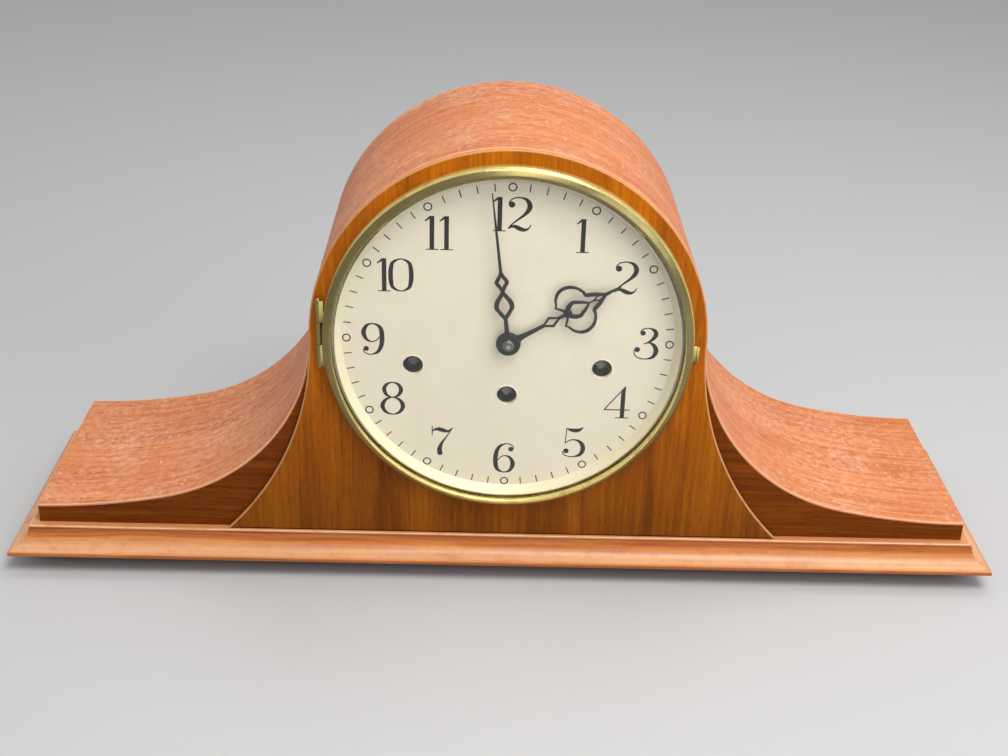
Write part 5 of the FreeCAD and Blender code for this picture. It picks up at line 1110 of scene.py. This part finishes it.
def makeChime():
    c = chimeSizes
    rods, r, thin = [], c["rodR"], c["rodR"] * 0.62
    for index in range(c["count"]):
        length = c["longest"] * (1 - index * c["step"])
        # a rod is thinned where it enters the block, and its free end is rounded
        profile = roundedLoop([(0, -length), (r, -length), (r, -7.0), (thin, -4.0), (thin, -1.5), (r, -0.8),
                               (r, 0), (0, 0)], [0.01, 0.5, 1.0, 1.0, 0.4, 0.3, 0.05, 0.01], 4)
        rods.append(turned("rod", profile, (c["blockX"], rodY(index), c["z"]), "x", 28))
    dress(merged("chimeRods", rods), "rodBronze", "case", ["chime_rods"])
    x, y0, y1 = c["blockX"], rodY(0) - c["margin"], rodY(c["count"] - 1) + c["margin"]
    outline = rectangle(x, y0, x + c["blockLength"], y1, 1.5, 4)
    block = [plate("block", [outline], c["blockHeight"], 0.8, lying(baseTop))]
    head = roundedLoop([(0, 0), (3.4, 0), (3.4, 1.4), (2.6, 2.2), (0, 2.4)], [0.01, 0.2, 0.4, 0.5, 0.01], 4)
    for y in (y0 + 6, y1 - 6):
        place = (x + c["blockLength"] / 2, y, baseTop + c["blockHeight"] - 0.1)
        block.append(turned("blockScrew", head, place, "z", 32))
    dress(merged("chimeBlock", block), "iron", "case", ["chime_block"])


def makeHammer(index):
    # a hub on the arbor, a wire arm bent down at its end, and a round head over the rod
    c = chimeSizes
    x, y, z, half = c["pivotX"], rodY(index), c["pivotZ"], c["hubWidth"] / 2
    end, low, tall, r, bend = x + c["reach"], c["headLow"], c["headHeight"], c["headR"], c["bend"]
    hub = turned("hub", sleeve(1.55, c["hubR"], -half, half, 0.4, 4), (x, y, z), "y", 32)
    t = np.linspace(0, math.pi / 2, 9)
    corner = rowsOf(end - bend + bend * np.sin(t), y, z - bend + bend * np.cos(t))
    path = np.concatenate([[(x + 2.4, y, z)], corner, [(end, y, low + tall - 1)]])
    arm = swept("arm", path, circleLoop(c["wire"], 14), (0, 1, 0))
    head = roundedLoop([(0, 0), (r * 0.8, 0), (r * 0.8, 2.2), (r, 2.6), (r, tall - 0.2), (r * 0.5, tall),
                        (0, tall)],
                       [0.01, 0.7, 0.1, 0.2, 0.6, 0.3, 0.01], 4)
    whole = merged(f"chimeHammer{index + 1}", [hub, arm, turned("head", head, (end, y, low), "z", 32)])
    dress(whole, "movementBrass", f"hammer_{index + 1}", [f"chime_hammer_{index + 1}"])


def makeBracket():
    # two lugs joined by a rail, and the arbor that the hammers turn on
    b, x, z, y = bracketSizes, chimeSizes["pivotX"], chimeSizes["pivotZ"], chimeSizes["plateY"]
    half, thick = b["half"], b["thick"]
    far = y + b["span"]
    pieces = []
    for start, tall in zip((y, far), b["tall"]):
        lug = rectangle(-(x + half), z - half - centreZ, -(x - half), z + tall - centreZ, 2.0, 6)
        pieces.append(plate("lug", [lug], thick, 0.2, facingBack(start)))
    rail = rectangle(x - half, y, x - 1, far + thick, 0.4, 3)
    pieces.append(plate("lugRail", [rail], b["rail"], 0.2, lying(z + 5)))
    arbor = sleeve(0, 1.5, 0, b["span"] + thick, 0.3, 4, 0.01)
    pieces.append(turned("hammerArbor", arbor, (x, y, z), "y", 28))
    pieces.append(screwHead("lugScrew", x, z + 14, y + thick, 2.0))
    dress(merged("hammerBracket", pieces), "steel", "case", ["hammer_bracket"])


drumSizes = {"radius": 18.5, "start": 22.0, "length": 28.0, "rim": 21.6, "rimThick": 2.0, "bore": 3.05,
             "places": {"strike": (-48.6, -14.7), "chime": (48.6, -14.7)}}


def makeDrums():
    # a drum with a turned lid at the front and a plain rim at the back
    d = drumSizes
    r, rim, bore, end, back = d["radius"], d["rim"], d["bore"], d["length"], d["length"] + d["rimThick"]
    profile = roundedLoop([(bore, 0.6), (6.0, 0.6), (6.0, 0.0), (8.5, 0.0), (9.0, 0.8), (r - 1.6, 0.8),
                           (r - 1.4, 0.0), (r, 0.0), (r, end), (rim, end), (rim, back), (bore, back)],
                          [0.1, 0.1, 0.2, 0.2, 0.2, 0.2, 0.1, 0.4, 0.2, 0.4, 0.4, 0.2], 4)
    for word, (x, up) in d["places"].items():
        piece = turned(word + "Drum", profile, (x, frontY + d["start"], centreZ + up), "y", 96)
        dress(piece, "movementBrass", word + "_drum", [word + "_barrel"])


makeChime()
for index in range(chimeSizes["count"]):
    makeHammer(index)
makeBracket()
makeDrums()
print("stage: movement and chime")


# these keep their solid's own mesh
carried = {"hiddenWood": ["wing_tip_blocks"],
           "hingeBrass": ["crystal_clips"],
           "movementBrass": ["dial_feet", "cannon_pinion", "minute_wheel", "hour_wheel", "second_wheel",
                             "third_wheel", "escape_wheel", "front_plate", "back_plate", "time_barrel",
                             "balance_wheel", "balance_bracket"],
           "arborSteel": ["strike_winding_arbor", "time_winding_arbor", "chime_winding_arbor"],
           "steel": ["centre_arbor", "ratchet_clicks", "plate_pillars", "movement_straps", "balance_spring",
                     "pallet_lever"]}

for material, names in carried.items():
    for name in names:
        nodes[name].data.materials.clear()
        nodes[name].data.materials.append(materials[material])


def makeFloor():
    points = [(-3000, -2000, 0), (3000, -2000, 0), (3000, 2500, 0), (-3000, 2500, 0)]
    floor = finishMesh("floor", points, [[0, 1, 2, 3]])
    surface = Surface("paleFloor")
    surface.set({"Base Color": (0.62, 0.62, 0.63, 1), "Roughness": 0.7})
    floor.data.materials.append(surface.material)


makeFloor()
print("stage: floor")
